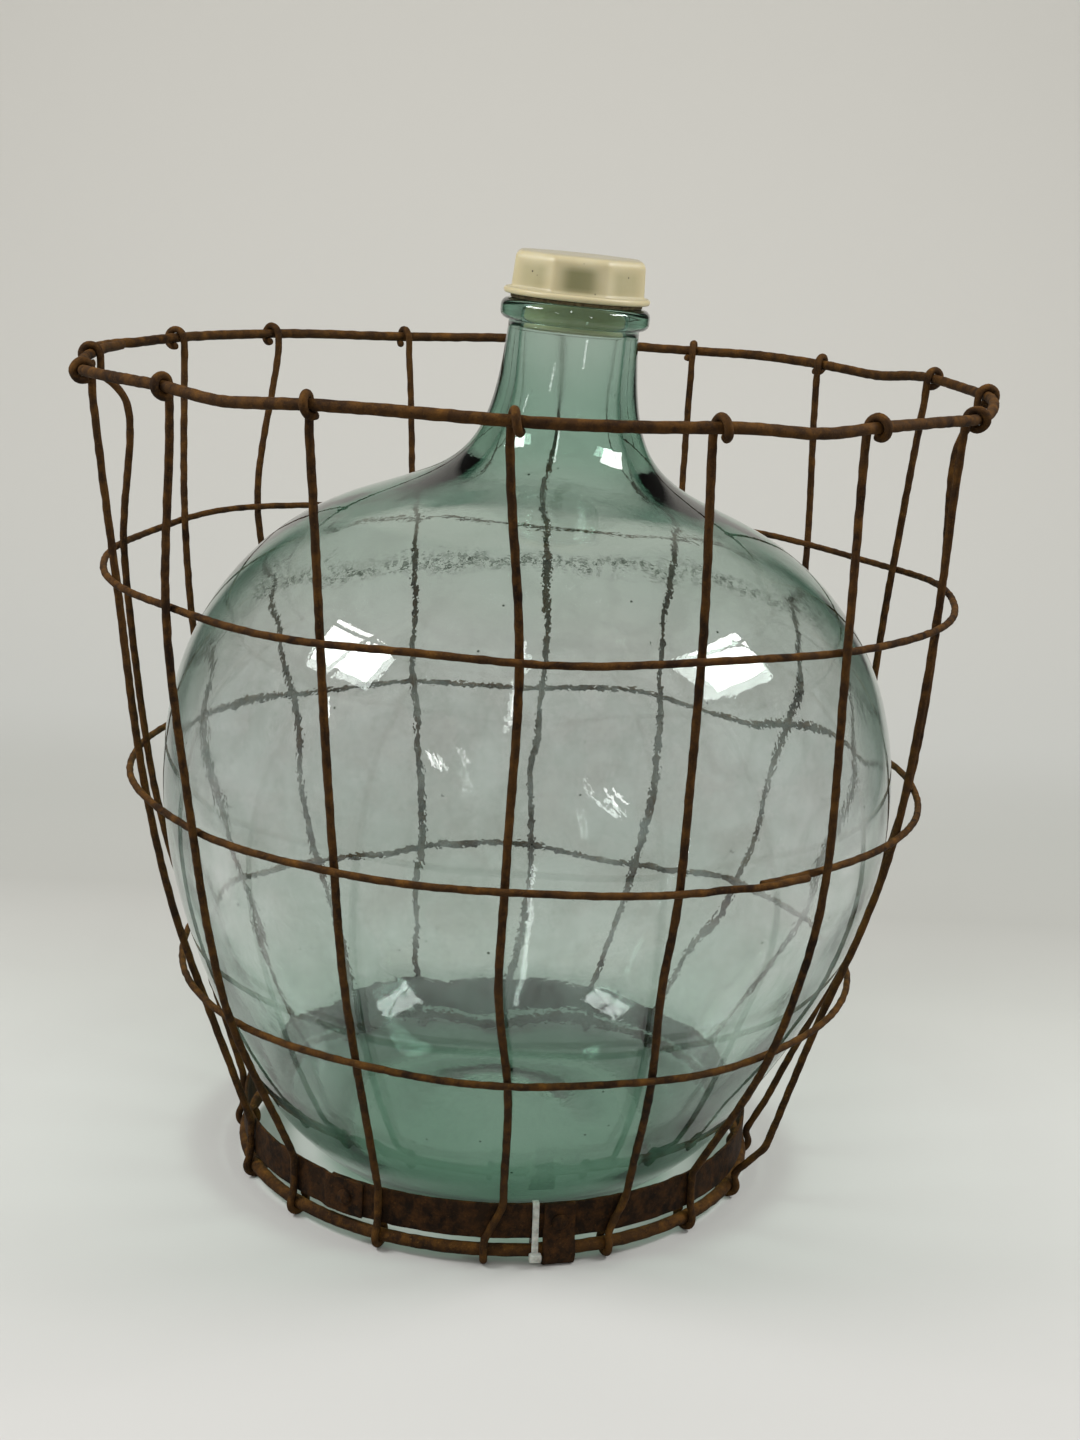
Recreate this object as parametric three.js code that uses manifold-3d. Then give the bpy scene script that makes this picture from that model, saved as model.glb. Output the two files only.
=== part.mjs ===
// Caged glass carboy: a hand-blown bottle with a stopper, standing in an open basket of iron wire.
// Millimetres, +Z up. The origin is on the floor, below the middle of the rim. The front faces -Y.
import * as THREE from "three";
import { mergeVertices } from "three/addons/utils/BufferGeometryUtils.js";
import Module from "manifold-3d";

// Bottle outline, with heights above the floor that it stands on
const footRadius = 104;
const heelRadius = 159;
const heelHeight = 48.3;
const heelSlope = 57.7;
const bellyRadius = 236;
const bellyHeight = 257.6;
const shoulderRadius = 119;
const shoulderHeight = 439.6;
const shoulderSlope = 21;
const neckRadius = 40.5;
const neckHeight = 553.6;
const neckTaper = 3;

// How far the outline holds its slope at each place, as a share of the stretch below or above it
const puntPull = 0.4;
const footPull = 0.08;
const floorPull = 0.35;
const heelPullBelow = 0.35;
const heelPullAbove = 0.284;
const bellyPullBelow = 0.32;
const bellyPullAbove = 0.42;
const shoulderPullBelow = 0.36;
const shoulderPullAbove = 0.47;
const neckPull = 0.6;
const borePull = 0.5;

// Lip and glass thickness: blown thin at the belly, left thick at the shoulder and the floor
const lipRadius = 46.5;
const lipHeight = 13;
const lipRound = 5;
const boreRadius = 32;
const boreDepth = 48;
const mouthRound = 1.5;
const heelWall = 6;
const bellyWall = 3;
const shoulderWall = 5;
const glassFloor = 16;
const puntRadius = 92;
const puntRise = 20;

// The blown body leans: its axis bends over the lower part and runs straight above it
const leanAngle = 2.9;
const leanHeight = 224.6;
const bottleShift = 3.5;

// Stopper
const flangeRadius = 45.5;
const flangeThickness = 4;
const headFlats = 8;
const headAcrossFlats = 82;
const headRound = 43.8;
const headHeight = 23;
const headTopInset = 4;
const headTopRound = 5;
const headWall = 4;
const shankClearance = 0.6;
const shankWall = 3.5;
const shankLength = 18;
const sealThickness = 2;
const sealRadius = 43;

// Wire of the basket
const rimWire = 6.5;
const hoopWire = 4.4;
const uprightWire = 4.8;
const baseWire = 8;

// Hoops: heights above the floor, room round the bottle, and how far each is pushed to the right of the base
const rimHeight = 523;
const rimRoom = 44;
const rimShift = 4.3;
const upperHeight = 398;
const upperRoom = 32;
const upperShift = 6.4;
const middleHeight = 266.5;
const middleRoom = 18;
const middleShift = 10;
const lowerHeight = 140.5;
const lowerRoom = 13;
const lowerShift = 8.5;
const flankRoom = 10.7;
const baseRoom = 9.3;
const rimLapBay = 11;
const upperLapBay = 7;
const middleLapBay = 1;
const lowerLapBay = 8;
const baseLapBay = 9;
const hoopLap = 30;
const hoopJoggle = 26;

// Knocks that bent the hoops down, or up where the depth is negative. Bays count from the front to the right
const rimDents = [
  { bay: 1.5, depth: 3.5, spread: 0.3 },
  { bay: 3, depth: 5, spread: 0.6 },
  { bay: 5.5, depth: 3, spread: 0.3 },
  { bay: 12.5, depth: 5.5, spread: 0.8 },
  { bay: 14.5, depth: 3, spread: 0.3 },
];
const upperDents = [{ bay: 5.4, depth: 5, spread: 1.2 }, { bay: 10.2, depth: -3.4, spread: 0.8 }];

// Uprights, counted from the front to the right. Drifts are degrees out of place at hoop, band or foot
const uprightCount = 16;
const outsideEvery = 4;
const firstOutside = 2;
const frontAngle = -2.4;
const footTwist = 1.5;
const rimDrift = { 2: -1, 3: -3, 4: -1.5, 6: -2, 12: -3.5, 15: 1.5 };
const upperDrift = { 1: 1, 3: -3.3, 11: 4 };
const middleDrift = { 3: -1.4 };
const lowerDrift = { 1: 1.7, 2: 2 };
const bandDrift = { 1: 3.5, 2: 3.8 };
const footDrift = { 2: 3.5, 3: 3, 14: 2.5 };
const legBow = { 4: 20, 5: 12 };
const rimKink = { 5: 10, 13: 16 };
const kinkDrop = 32;
const hookSideStep = 5.4;
const curlFrom = 130;
const curlTo = 370;
const hookTo = -120;

// Flat iron of the base
const bandThickness = 2;
const bandHeight = 23;
const bandLift = 4;
const bandOverhang = 1;
const bandLap = 24;
const bandJoggle = 10;
const bandLapAngle = -31.4;
const plateThickness = 2;
const plateWidth = 20;
const plateBend = 3;
const plateFoot = 24;
const plateAngle = 14.4;
const rivetHoleRadius = 2.5;
const rivetShankRadius = 2.2;
const rivetHeadRadius = 5;
const rivetHeadHeight = 2.6;
const rivetTailRadius = 4.2;
const rivetTailHeight = 1.6;
const rivetCrown = 0.4;
const rivetBrow = 0.8;

// Cable tie round the band and the base hoop, beside the link plate
const tieWidth = 4.6;
const tieThickness = 1.2;
const tieGap = 1;
const tieHeadWidth = 7.5;
const tieHeadDepth = 4.5;
const tieHeadHeight = 5;

// Pieces that touch keep this much air between them
const clearance = 0.3;

// Fineness of the round forms
const bottleSegments = 36;
const outlineSteps = 6;
const insideSteps = 4;
const edgeSteps = 3;
const hoopSteps = 48;
const bandSteps = 72;
const climbSteps = 2;
const wireSides = 6;
const rivetSides = 8;
const flatSides = 4;
const hookStep = 40;

const radians = THREE.MathUtils.degToRad;
const degrees = THREE.MathUtils.radToDeg;
const flat = (x, y) => new THREE.Vector2(x, y);

// Heights and radii that follow from the sizes above
const baseHookRadius = baseWire / 2 + clearance + uprightWire / 2;
const rimHookRadius = rimWire / 2 + clearance + uprightWire / 2;
const baseHeight = baseHookRadius + uprightWire / 2;
const baseRadius = heelRadius + baseRoom;
const bandOuter = baseRadius + bandOverhang;
const bandInner = bandOuter - bandThickness;
const bandBottom = baseHeight + baseWire / 2 + bandLift;
const bandTop = bandBottom + bandHeight;
const uprightPitch = 360 / uprightCount;
const lipTop = neckHeight + lipHeight;
const shankRadius = boreRadius - shankClearance;

const glass = new THREE.MeshStandardMaterial({
  color: 0x9db5a7, roughness: 0.08, metalness: 0, transparent: true, opacity: 0.4,
});
const creamPlastic = new THREE.MeshStandardMaterial({ color: 0xd8cda4, roughness: 0.45, metalness: 0 });
const brownRubber = new THREE.MeshStandardMaterial({ color: 0x4b3a2a, roughness: 0.8, metalness: 0 });
const rustyWire = new THREE.MeshStandardMaterial({ color: 0x52301a, roughness: 0.85, metalness: 0.3 });
const rustyStrip = new THREE.MeshStandardMaterial({ color: 0x3c2115, roughness: 0.9, metalness: 0.3 });
const greyNylon = new THREE.MeshStandardMaterial({ color: 0xb4b6b0, roughness: 0.5, metalness: 0 });

const wasm = await Module();
wasm.setup();
const carboy = new THREE.Group();

function addPiece(name, geometry, material) {
  const mesh = new THREE.Mesh(geometry, material);
  mesh.name = name;
  carboy.add(mesh);
  return mesh;
}

// Joining and cutting of closed solids
function solidOf(geometry) {
  const bare = geometry.clone();
  bare.deleteAttribute("normal");
  bare.deleteAttribute("uv");
  const merged = mergeVertices(bare, 1e-4);
  const vertProperties = new Float32Array(merged.attributes.position.array);
  const triVerts = new Uint32Array(merged.index.array);
  return new wasm.Manifold(new wasm.Mesh({ numProp: 3, vertProperties, triVerts }));
}

function geometryOf(solid) {
  const mesh = solid.getMesh();
  const geometry = new THREE.BufferGeometry();
  geometry.setAttribute("position", new THREE.BufferAttribute(new Float32Array(mesh.vertProperties), 3));
  geometry.setIndex(new THREE.BufferAttribute(new Uint32Array(mesh.triVerts), 1));
  return geometry;
}

// A solid of revolution about Z from points of (radius, height)
function turned(points, segments) {
  return new THREE.LatheGeometry(points, segments).rotateX(Math.PI / 2);
}

// One stretch of an outline: it leaves the start and reaches the end along the given slopes, in degrees.
// The pulls say how far each slope holds, as a share of the straight distance.
function stretch(start, startSlope, startPull, end, endSlope, endPull, steps) {
  const reach = start.distanceTo(end);
  const leave = flat(Math.cos(radians(startSlope)), Math.sin(radians(startSlope)));
  const arrive = flat(Math.cos(radians(endSlope)), Math.sin(radians(endSlope)));
  const startHandle = start.clone().addScaledVector(leave, startPull * reach);
  const endHandle = end.clone().addScaledVector(arrive, -endPull * reach);
  return new THREE.CubicBezierCurve(start, startHandle, endHandle, end).getPoints(steps);
}

// A quarter of a round edge, between two angles in degrees
function roundEdge(centreX, centreY, radius, fromAngle, toAngle) {
  const curve = new THREE.ArcCurve(centreX, centreY, radius, radians(fromAngle), radians(toAngle), false);
  return curve.getPoints(edgeSteps);
}

// Moves a point of an outline into the glass, square to the slope there
function inward(point, slope, depth) {
  const angle = radians(slope);
  return flat(point.x - depth * Math.sin(angle), point.y + depth * Math.cos(angle));
}

function withoutDoubles(points) {
  return points.filter((point, i) => i === 0 || point.distanceTo(points[i - 1]) > 1e-6);
}

// Slopes of the bottle's outline where its stretches meet
const levelSlope = 0;
const uprightSlope = 90;
const shoulderRun = 180 - shoulderSlope;
const neckRun = 90 + neckTaper;

// Outside of the bottle from the middle of its foot to the lip
function bottleOutside() {
  const foot = flat(footRadius, 0);
  const heel = flat(heelRadius, heelHeight);
  const belly = flat(bellyRadius, bellyHeight);
  const shoulder = flat(shoulderRadius, shoulderHeight);
  const neck = flat(neckRadius, neckHeight);
  const puntTop = flat(0, puntRise);
  const puntEdge = flat(puntRadius, 0);
  return [
    ...stretch(puntTop, levelSlope, puntPull, puntEdge, levelSlope, puntPull, outlineSteps),
    ...stretch(foot, levelSlope, footPull, heel, heelSlope, heelPullBelow, edgeSteps),
    ...stretch(heel, heelSlope, heelPullAbove, belly, uprightSlope, bellyPullBelow, outlineSteps),
    ...stretch(belly, uprightSlope, bellyPullAbove, shoulder, shoulderRun, shoulderPullBelow, outlineSteps),
    ...stretch(shoulder, shoulderRun, shoulderPullAbove, neck, neckRun, neckPull, outlineSteps),
  ];
}

function bottleLip() {
  const roundCentre = lipRadius - lipRound;
  return [
    ...roundEdge(roundCentre, neckHeight + lipRound, lipRound, -90, 0),
    ...roundEdge(roundCentre, lipTop - lipRound, lipRound, 0, 90),
    ...roundEdge(boreRadius + mouthRound, lipTop - mouthRound, mouthRound, 90, 180),
  ];
}

// Inside of the bottle from the bore down to the middle of its thick floor
function bottleInside() {
  const heel = inward(flat(heelRadius, heelHeight), heelSlope, heelWall);
  const shoulder = inward(flat(shoulderRadius, shoulderHeight), shoulderRun, shoulderWall);
  const belly = flat(bellyRadius - bellyWall, bellyHeight);
  const floorEdge = flat(puntRadius, glassFloor);
  const boreFoot = flat(boreRadius, lipTop - boreDepth);
  const floorTop = flat(0, puntRise + glassFloor);
  const upward = [
    ...stretch(floorTop, levelSlope, puntPull, floorEdge, levelSlope, floorPull, edgeSteps),
    ...stretch(floorEdge, levelSlope, floorPull, heel, heelSlope, heelPullBelow, edgeSteps),
    ...stretch(heel, heelSlope, heelPullAbove, belly, uprightSlope, bellyPullBelow, insideSteps),
    ...stretch(belly, uprightSlope, bellyPullAbove, shoulder, shoulderRun, shoulderPullBelow, insideSteps),
    ...stretch(shoulder, shoulderRun, shoulderPullAbove, boreFoot, uprightSlope, borePull, insideSteps),
  ];
  return upward.reverse();
}

// Sideways place of the bottle's axis at a height, and its tilt there in radians
function leanAt(height) {
  const share = THREE.MathUtils.clamp(height / leanHeight, 0, 1);
  const bentPart = leanHeight * (share ** 3 - share ** 4 / 2);
  const straightPart = Math.max(height - leanHeight, 0);
  const shift = bottleShift + radians(leanAngle) * (bentPart + straightPart);
  return { shift, tilt: radians(leanAngle) * share * share * (3 - 2 * share) };
}

// Bends an upright bottle over its leaning axis, every level staying square to the axis
function leaned(geometry) {
  const places = geometry.attributes.position;
  for (let i = 0; i < places.count; i += 1) {
    const { shift, tilt } = leanAt(places.getZ(i));
    const x = places.getX(i);
    places.setX(i, shift + x * Math.cos(tilt));
    places.setZ(i, places.getZ(i) - x * Math.sin(tilt));
  }
  return geometry;
}

const outsideOutline = bottleOutside();

// Radius of the bottle's outside at a height above the floor
function bottleRadiusAt(height) {
  const i = outsideOutline.findIndex((point) => point.y > height && point.x > footRadius);
  const below = outsideOutline[i - 1];
  const above = outsideOutline[i];
  return THREE.MathUtils.mapLinear(height, below.y, above.y, below.x, above.x);
}

const bottleProfile = withoutDoubles([...outsideOutline, ...bottleLip(), ...bottleInside()]);
addPiece("glass_carboy", leaned(turned(bottleProfile, bottleSegments)), glass);

// Stopper and seal stand on the lip, along the leaning neck
const neckFrame = new THREE.Group();
neckFrame.position.set(leanAt(lipTop).shift, 0, lipTop);
neckFrame.rotation.y = leanAt(lipTop).tilt;
carboy.add(neckFrame);

const sealBottom = clearance;
const flangeBottom = sealBottom + sealThickness + clearance;
const flangeTop = flangeBottom + flangeThickness;
const headTop = flangeTop + headHeight;

// Whole stopper as a round blank: hollow shank, flange and domed-edge head
function stopperProfile() {
  const hollow = shankRadius - shankWall;
  const crown = headRound - headTopInset;
  const shankBottom = flangeBottom - shankLength;
  return [
    flat(0, headTop - headWall),
    flat(hollow - headWall, headTop - headWall),
    flat(hollow, headTop - 2 * headWall),
    flat(hollow, shankBottom),
    flat(shankRadius - shankClearance, shankBottom),
    flat(shankRadius, shankBottom + shankWall),
    flat(shankRadius, flangeBottom),
    flat(flangeRadius, flangeBottom),
    flat(flangeRadius, flangeTop - flangeThickness / 4),
    flat(flangeRadius - flangeThickness / 4, flangeTop),
    flat(headRound, flangeTop),
    flat(headRound - headTopInset / 4, headTop - headTopRound),
    flat(headRound - headTopInset / 2, headTop - headTopRound / 4),
    flat(crown, headTop),
    flat(0, headTop),
  ];
}

// Presses flats into the round head: the radius stops at the flat where the round passes it
function pressFlats(geometry) {
  const places = geometry.attributes.position;
  const flatAngle = (2 * Math.PI) / headFlats;
  for (let i = 0; i < places.count; i += 1) {
    const x = places.getX(i);
    const y = places.getY(i);
    const radius = Math.hypot(x, y);
    const around = THREE.MathUtils.euclideanModulo(Math.atan2(y, x) + flatAngle / 2, flatAngle);
    const fromFlat = Math.abs(around - flatAngle / 2);
    const draft = headRound - radius;
    const limit = (headAcrossFlats / 2 - draft) / Math.cos(fromFlat);
    const onHead = places.getZ(i) > flangeTop - clearance && radius > shankRadius;
    const scale = onHead && radius > limit && radius <= headRound + clearance ? limit / radius : 1;
    places.setXY(i, x * scale, y * scale);
  }
  return geometry;
}

const stopperBlank = turned(stopperProfile(), headFlats * flatSides);
neckFrame.add(addPiece("stopper", pressFlats(stopperBlank), creamPlastic));

const sealProfile = [
  flat(shankRadius + clearance, sealBottom),
  flat(sealRadius, sealBottom),
  flat(sealRadius, sealBottom + sealThickness),
  flat(shankRadius + clearance, sealBottom + sealThickness),
  flat(shankRadius + clearance, sealBottom),
];
neckFrame.add(addPiece("stopper_seal", turned(sealProfile, bottleSegments), brownRubber));

// A wire's centre line through its stations, taken station by station so that bends get the steps they need
class BentWire extends THREE.Curve {
  constructor(stations) {
    super();
    this.stations = stations;
  }

  getPoint(share, target = new THREE.Vector3()) {
    const place = share * (this.stations.length - 1);
    const i = Math.min(Math.floor(place + 1e-9), this.stations.length - 2);
    return target.lerpVectors(this.stations[i], this.stations[i + 1], place - i);
  }

  getPointAt(share, target) {
    return this.getPoint(share, target);
  }

  getSpacedPoints(steps) {
    return this.getPoints(steps);
  }

  // Tangents halve the angle of each bend, so that the wire keeps its thickness there
  getTangentAt(share, target = new THREE.Vector3()) {
    const i = Math.round(share * (this.stations.length - 1));
    const here = this.stations[i];
    const before = this.stations[i - 1] ?? here;
    const after = this.stations[i + 1] ?? here;
    const arriving = here.clone().sub(before).normalize();
    const leaving = after.clone().sub(here).normalize();
    return target.copy(arriving).add(leaving).normalize();
  }
}

// A wire of round stock bent through its stations. The facets lie inside the round unless flatFit is set,
// and then the flats that face the bends lie on it
function bentWire(stations, diameter, flatFit) {
  const corner = flatFit ? diameter / 2 / Math.cos(Math.PI / wireSides) : diameter / 2;
  const corners = Array.from({ length: wireSides }, (_, i) => {
    const angle = (2 * Math.PI * i) / wireSides;
    return flat(corner * Math.cos(angle), corner * Math.sin(angle));
  });
  const extrudePath = new BentWire(stations);
  return new THREE.ExtrudeGeometry(new THREE.Shape(corners), { steps: stations.length - 1, extrudePath });
}

// Direction in plan: angles are counted from the front towards the right
const outFrom = (angle) => new THREE.Vector3(Math.sin(radians(angle)), -Math.cos(radians(angle)), 0);
const bayAngle = (bay) => frontAngle + uprightPitch * bay;

// A place at an angle and a height, round a middle that is shifted to the right
function placeRound(shift, angle, radius, height) {
  return outFrom(angle).multiplyScalar(radius).add(new THREE.Vector3(shift, 0, height));
}

// How far knocks have pressed a hoop down at an angle
function dentAt(hoop, angle) {
  return (hoop.dents ?? []).reduce((sum, dent) => {
    const away = THREE.MathUtils.euclideanModulo(angle - bayAngle(dent.bay) + 180, 360) - 180;
    return sum + dent.depth * Math.exp(-((away / (dent.spread * uprightPitch)) ** 2));
  }, 0);
}

// Hoops from the rim down. Each starts in the middle of a bay and laps over its own start there
const rimRadius = bellyRadius + rimRoom;
const upperRadius = bellyRadius + upperRoom;
const middleRadius = bellyRadius + middleRoom;
const lowerRadius = bottleRadiusAt(lowerHeight) + lowerRoom;
const hoops = {
  rim: { radius: rimRadius, height: rimHeight, shift: rimShift, wire: rimWire, lapBay: rimLapBay },
  upper: { radius: upperRadius, height: upperHeight, shift: upperShift, lapBay: upperLapBay },
  middle: { radius: middleRadius, height: middleHeight, shift: middleShift, lapBay: middleLapBay },
  lower: { radius: lowerRadius, height: lowerHeight, shift: lowerShift, lapBay: lowerLapBay },
  base: { radius: baseRadius, height: baseHeight, shift: 0, wire: baseWire, lapBay: baseLapBay },
};
hoops.rim.dents = rimDents;
hoops.upper.dents = upperDents;
hoops.upper.drift = upperDrift;
hoops.middle.drift = middleDrift;
hoops.lower.drift = lowerDrift;

const wireOf = (hoop) => hoop.wire ?? hoopWire;
const hoopStart = (hoop) => bayAngle(hoop.lapBay + 0.5);

// Point of the faceted hoop at an angle, without the lap
function hoopPoint(hoop, angle) {
  const step = 360 / hoopSteps;
  const place = THREE.MathUtils.euclideanModulo(angle - hoopStart(hoop), 360) / step;
  const from = hoopStart(hoop) + Math.floor(place) * step;
  const corner = (at) => placeRound(hoop.shift, at, hoop.radius, hoop.height - dentAt(hoop, at));
  return corner(from).lerp(corner(from + step), place - Math.floor(place));
}

// Once round, then a joggle outwards over the hoop's own start and a lap beside it
function hoopStations(hoop) {
  const start = hoopStart(hoop);
  const angleOf = (length) => degrees(length / hoop.radius);
  const joggleFrom = 360 - angleOf(hoopJoggle);
  const lapOut = wireOf(hoop) + clearance;
  const rounds = Array.from({ length: hoopSteps }, (_, i) => (360 / hoopSteps) * i);
  const plain = rounds.filter((turn) => turn < joggleFrom).map((turn) => hoopPoint(hoop, start + turn));
  const lap = [360, 360 + angleOf(hoopLap)].map((turn) => {
    const place = hoopPoint(hoop, start + turn);
    return place.addScaledVector(outFrom(start + turn), lapOut);
  });
  return [...plain, hoopPoint(hoop, start + joggleFrom), ...lap];
}

for (const [name, hoop] of Object.entries(hoops)) {
  addPiece(`${name}_hoop`, bentWire(hoopStations(hoop), wireOf(hoop), false), rustyWire);
}

// Half way between the lower and the middle hoop the uprights keep their room round the bottle's flank
const flankHeight = (lowerHeight + middleHeight) / 2;
const flankRadius = bottleRadiusAt(flankHeight) + flankRoom;
const flankShift = (lowerShift + middleShift) / 2;
const flank = { radius: flankRadius, height: flankHeight, shift: flankShift, lapBay: lowerLapBay };

// How far an upright's middle stays from a thin hoop's middle where it crosses it on a slope
function crossingOffset(slope) {
  const upright = uprightWire / 2 + clearance;
  return hoopWire / 2 + (upright + (hoopWire / 4) * Math.abs(slope)) * Math.hypot(1, slope);
}

// One upright: a curl round the base hoop, a climb past the band and the hoops, and a hook over the rim hoop
function uprightStations(index) {
  const number = index + 1;
  const angle = bayAngle(index);
  const footAngle = angle + footTwist + (footDrift[number] ?? 0);
  const rimAngle = angle + (rimDrift[number] ?? 0);
  const outside = index % outsideEvery === firstOutside;
  const stations = [];

  const faceted = Math.cos(radians(hookStep / 2));
  for (let turn = curlFrom; turn <= curlTo; turn += hookStep) {
    const out = (baseHookRadius / faceted) * Math.cos(radians(turn));
    const rise = (baseHookRadius / faceted) * Math.sin(radians(turn));
    const knot = hoopPoint(hoops.base, footAngle);
    stations.push(knot.addScaledVector(outFrom(footAngle), out).add(new THREE.Vector3(0, 0, rise)));
  }

  const legRadius = bandOuter + clearance + uprightWire / 2;
  stations.push(placeRound(0, footAngle, legRadius, bandBottom));

  const bandAngle = footAngle + (bandDrift[number] ?? 0);
  const climb = [placeRound(0, bandAngle, legRadius + (legBow[number] ?? 0), bandTop)];
  const bandLevel = { radius: legRadius, height: bandTop };
  const levels = [bandLevel, hoops.lower, flank, hoops.middle, hoops.upper, hoops.rim];
  for (let i = 1; i < levels.length - 1; i += 1) {
    const rise = levels[i + 1].height - levels[i - 1].height;
    const slope = (levels[i + 1].radius - levels[i - 1].radius) / rise;
    const offset = crossingOffset(slope) * (outside ? 1 : -1);
    const crossing = angle + (levels[i].drift?.[number] ?? 0);
    climb.push(hoopPoint(levels[i], crossing).addScaledVector(outFrom(crossing), offset));
  }
  const rimInside = rimRadius - rimHookRadius;
  if (rimKink[number]) {
    climb.push(placeRound(rimShift, rimAngle, rimInside - rimKink[number], rimHeight - kinkDrop));
  }
  const underRim = hoopPoint(hoops.rim, rimAngle).addScaledVector(outFrom(rimAngle), -rimHookRadius);
  climb.push(underRim.add(new THREE.Vector3(0, 0, -2 * rimHookRadius)));
  const climbCurve = new THREE.CatmullRomCurve3(climb);
  stations.push(...climbCurve.getPoints((climb.length - 1) * climbSteps));

  const hookFrom = 180 - hookStep / 2;
  for (let turn = hookFrom; turn >= hookTo; turn -= hookStep) {
    const out = (rimHookRadius / faceted) * Math.cos(radians(turn));
    const rise = (rimHookRadius / faceted) * Math.sin(radians(turn));
    const sideways = (hookSideStep * (hookFrom - turn)) / (hookFrom - hookTo);
    const place = hoopPoint(hoops.rim, rimAngle + degrees(sideways / rimRadius));
    stations.push(place.addScaledVector(outFrom(rimAngle), out).add(new THREE.Vector3(0, 0, rise)));
  }
  return stations;
}

// Each upright is bent flat in its own frame, outwards along X, and then turned to its place
for (let index = 0; index < uprightCount; index += 1) {
  const turn = radians(bayAngle(index) - 90);
  const upAxis = new THREE.Vector3(0, 0, 1);
  const stations = uprightStations(index).map((place) => place.applyAxisAngle(upAxis, -turn));
  const name = `upright_${String(index + 1).padStart(2, "0")}`;
  addPiece(name, bentWire(stations, uprightWire, true), rustyWire).rotation.z = turn;
}

// Outline of a strip of even thickness along a bent line in a plane, one face after the other
function stripOutline(line, thickness) {
  const sideOf = (sign) => line.map((point, i) => {
    const before = line[i - 1] ?? point;
    const after = line[i + 1] ?? point;
    const arriving = point.clone().sub(before).normalize();
    const leaving = after.clone().sub(point).normalize();
    const along = arriving.clone().add(leaving).normalize();
    const bendShare = Math.max(along.dot(arriving), along.dot(leaving));
    const reach = (sign * thickness) / 2 / bendShare;
    return flat(point.x - along.y * reach, point.y + along.x * reach);
  });
  return [...sideOf(1), ...sideOf(-1).reverse()];
}

// A bar lying outwards along X in the frame of an angle, for drilling
function drill(angle, height) {
  const length = 8 * (bandThickness + plateThickness);
  const bar = new THREE.CylinderGeometry(rivetHoleRadius, rivetHoleRadius, length, rivetSides);
  bar.rotateZ(Math.PI / 2).translate(bandOuter, 0, height);
  return bar.rotateZ(radians(angle - 90));
}

const rivetHeight = bandBottom + bandHeight / 2;

// Base band: a strip bent to a ring. Its outer end steps out and laps over its inner end
function bandLine() {
  const middle = bandOuter - bandThickness / 2;
  const angleOf = (length) => degrees(length / middle);
  const start = bandLapAngle - angleOf(bandLap) / 2;
  const stepOut = bandThickness + clearance;
  const place = (angle, radius) => {
    const point = placeRound(0, angle, radius, 0);
    return flat(point.x, point.y);
  };
  const joggleFrom = 360 - angleOf(bandJoggle);
  const rounds = Array.from({ length: bandSteps }, (_, i) => (360 / bandSteps) * i);
  const plain = rounds.filter((turn) => turn < joggleFrom).map((turn) => place(start + turn, middle));
  const lap = [0, 0.5, 1].map((share) => place(start + 360 + share * angleOf(bandLap), middle + stepOut));
  return [...plain, place(start + joggleFrom, middle), ...lap];
}

function bandGeometry() {
  const strip = new THREE.Shape(stripOutline(bandLine(), bandThickness));
  const blank = new THREE.ExtrudeGeometry(strip, { depth: bandHeight, bevelEnabled: false });
  blank.translate(0, 0, bandBottom);
  const holes = [bandLapAngle, plateAngle].map((angle) => solidOf(drill(angle, rivetHeight)));
  return geometryOf(holes.reduce((solid, hole) => solid.subtract(hole), solidOf(blank)));
}

addPiece("base_band", bandGeometry(), rustyStrip);

// Link plate: laid against the band, bent round the outside of the base hoop, with a flat foot under the hoop
function plateGeometry() {
  const middle = plateThickness / 2;
  const sideX = baseRadius + baseWire / 2 + clearance + plateThickness / 2;
  const endX = bandOuter + clearance + plateThickness / 2;
  const bend = roundEdge(sideX - plateBend, middle + plateBend, plateBend, -90, 0);
  const toe = flat(sideX - plateBend - plateFoot, middle);
  const line = [toe, ...bend, flat(sideX, baseHeight), flat(endX, bandBottom), flat(endX, bandTop)];
  const side = new THREE.Shape(stripOutline(line, plateThickness));
  const bar = new THREE.ExtrudeGeometry(side, { depth: plateWidth, bevelEnabled: false });
  bar.translate(0, 0, -plateWidth / 2).rotateX(Math.PI / 2).rotateZ(radians(plateAngle - 90));
  return geometryOf(solidOf(bar).subtract(solidOf(drill(plateAngle, rivetHeight))));
}

addPiece("link_plate", plateGeometry(), rustyStrip);

// Rivet from its set tail inside the band to its domed head outside, as (radius, distance along its axis)
function rivetProfile() {
  const grip = bandThickness + clearance + plateThickness;
  const head = grip + clearance;
  return [
    flat(0, -clearance - rivetTailHeight),
    flat(rivetTailRadius * rivetBrow, -clearance - rivetTailHeight),
    flat(rivetTailRadius, -clearance),
    flat(rivetShankRadius, -clearance),
    flat(rivetShankRadius, head),
    flat(rivetHeadRadius, head),
    flat(rivetHeadRadius * rivetBrow, head + rivetHeadHeight * (1 - rivetCrown)),
    flat(rivetHeadRadius * rivetCrown, head + rivetHeadHeight),
    flat(0, head + rivetHeadHeight),
  ];
}

function addRivet(name, angle) {
  const body = new THREE.LatheGeometry(rivetProfile(), rivetSides).rotateZ(-Math.PI / 2);
  const rivet = addPiece(name, body, rustyStrip);
  rivet.position.copy(placeRound(0, angle, bandInner, rivetHeight));
  rivet.rotation.z = radians(angle - 90);
}

addRivet("lap_rivet", bandLapAngle);
addRivet("plate_rivet", plateAngle);

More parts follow.
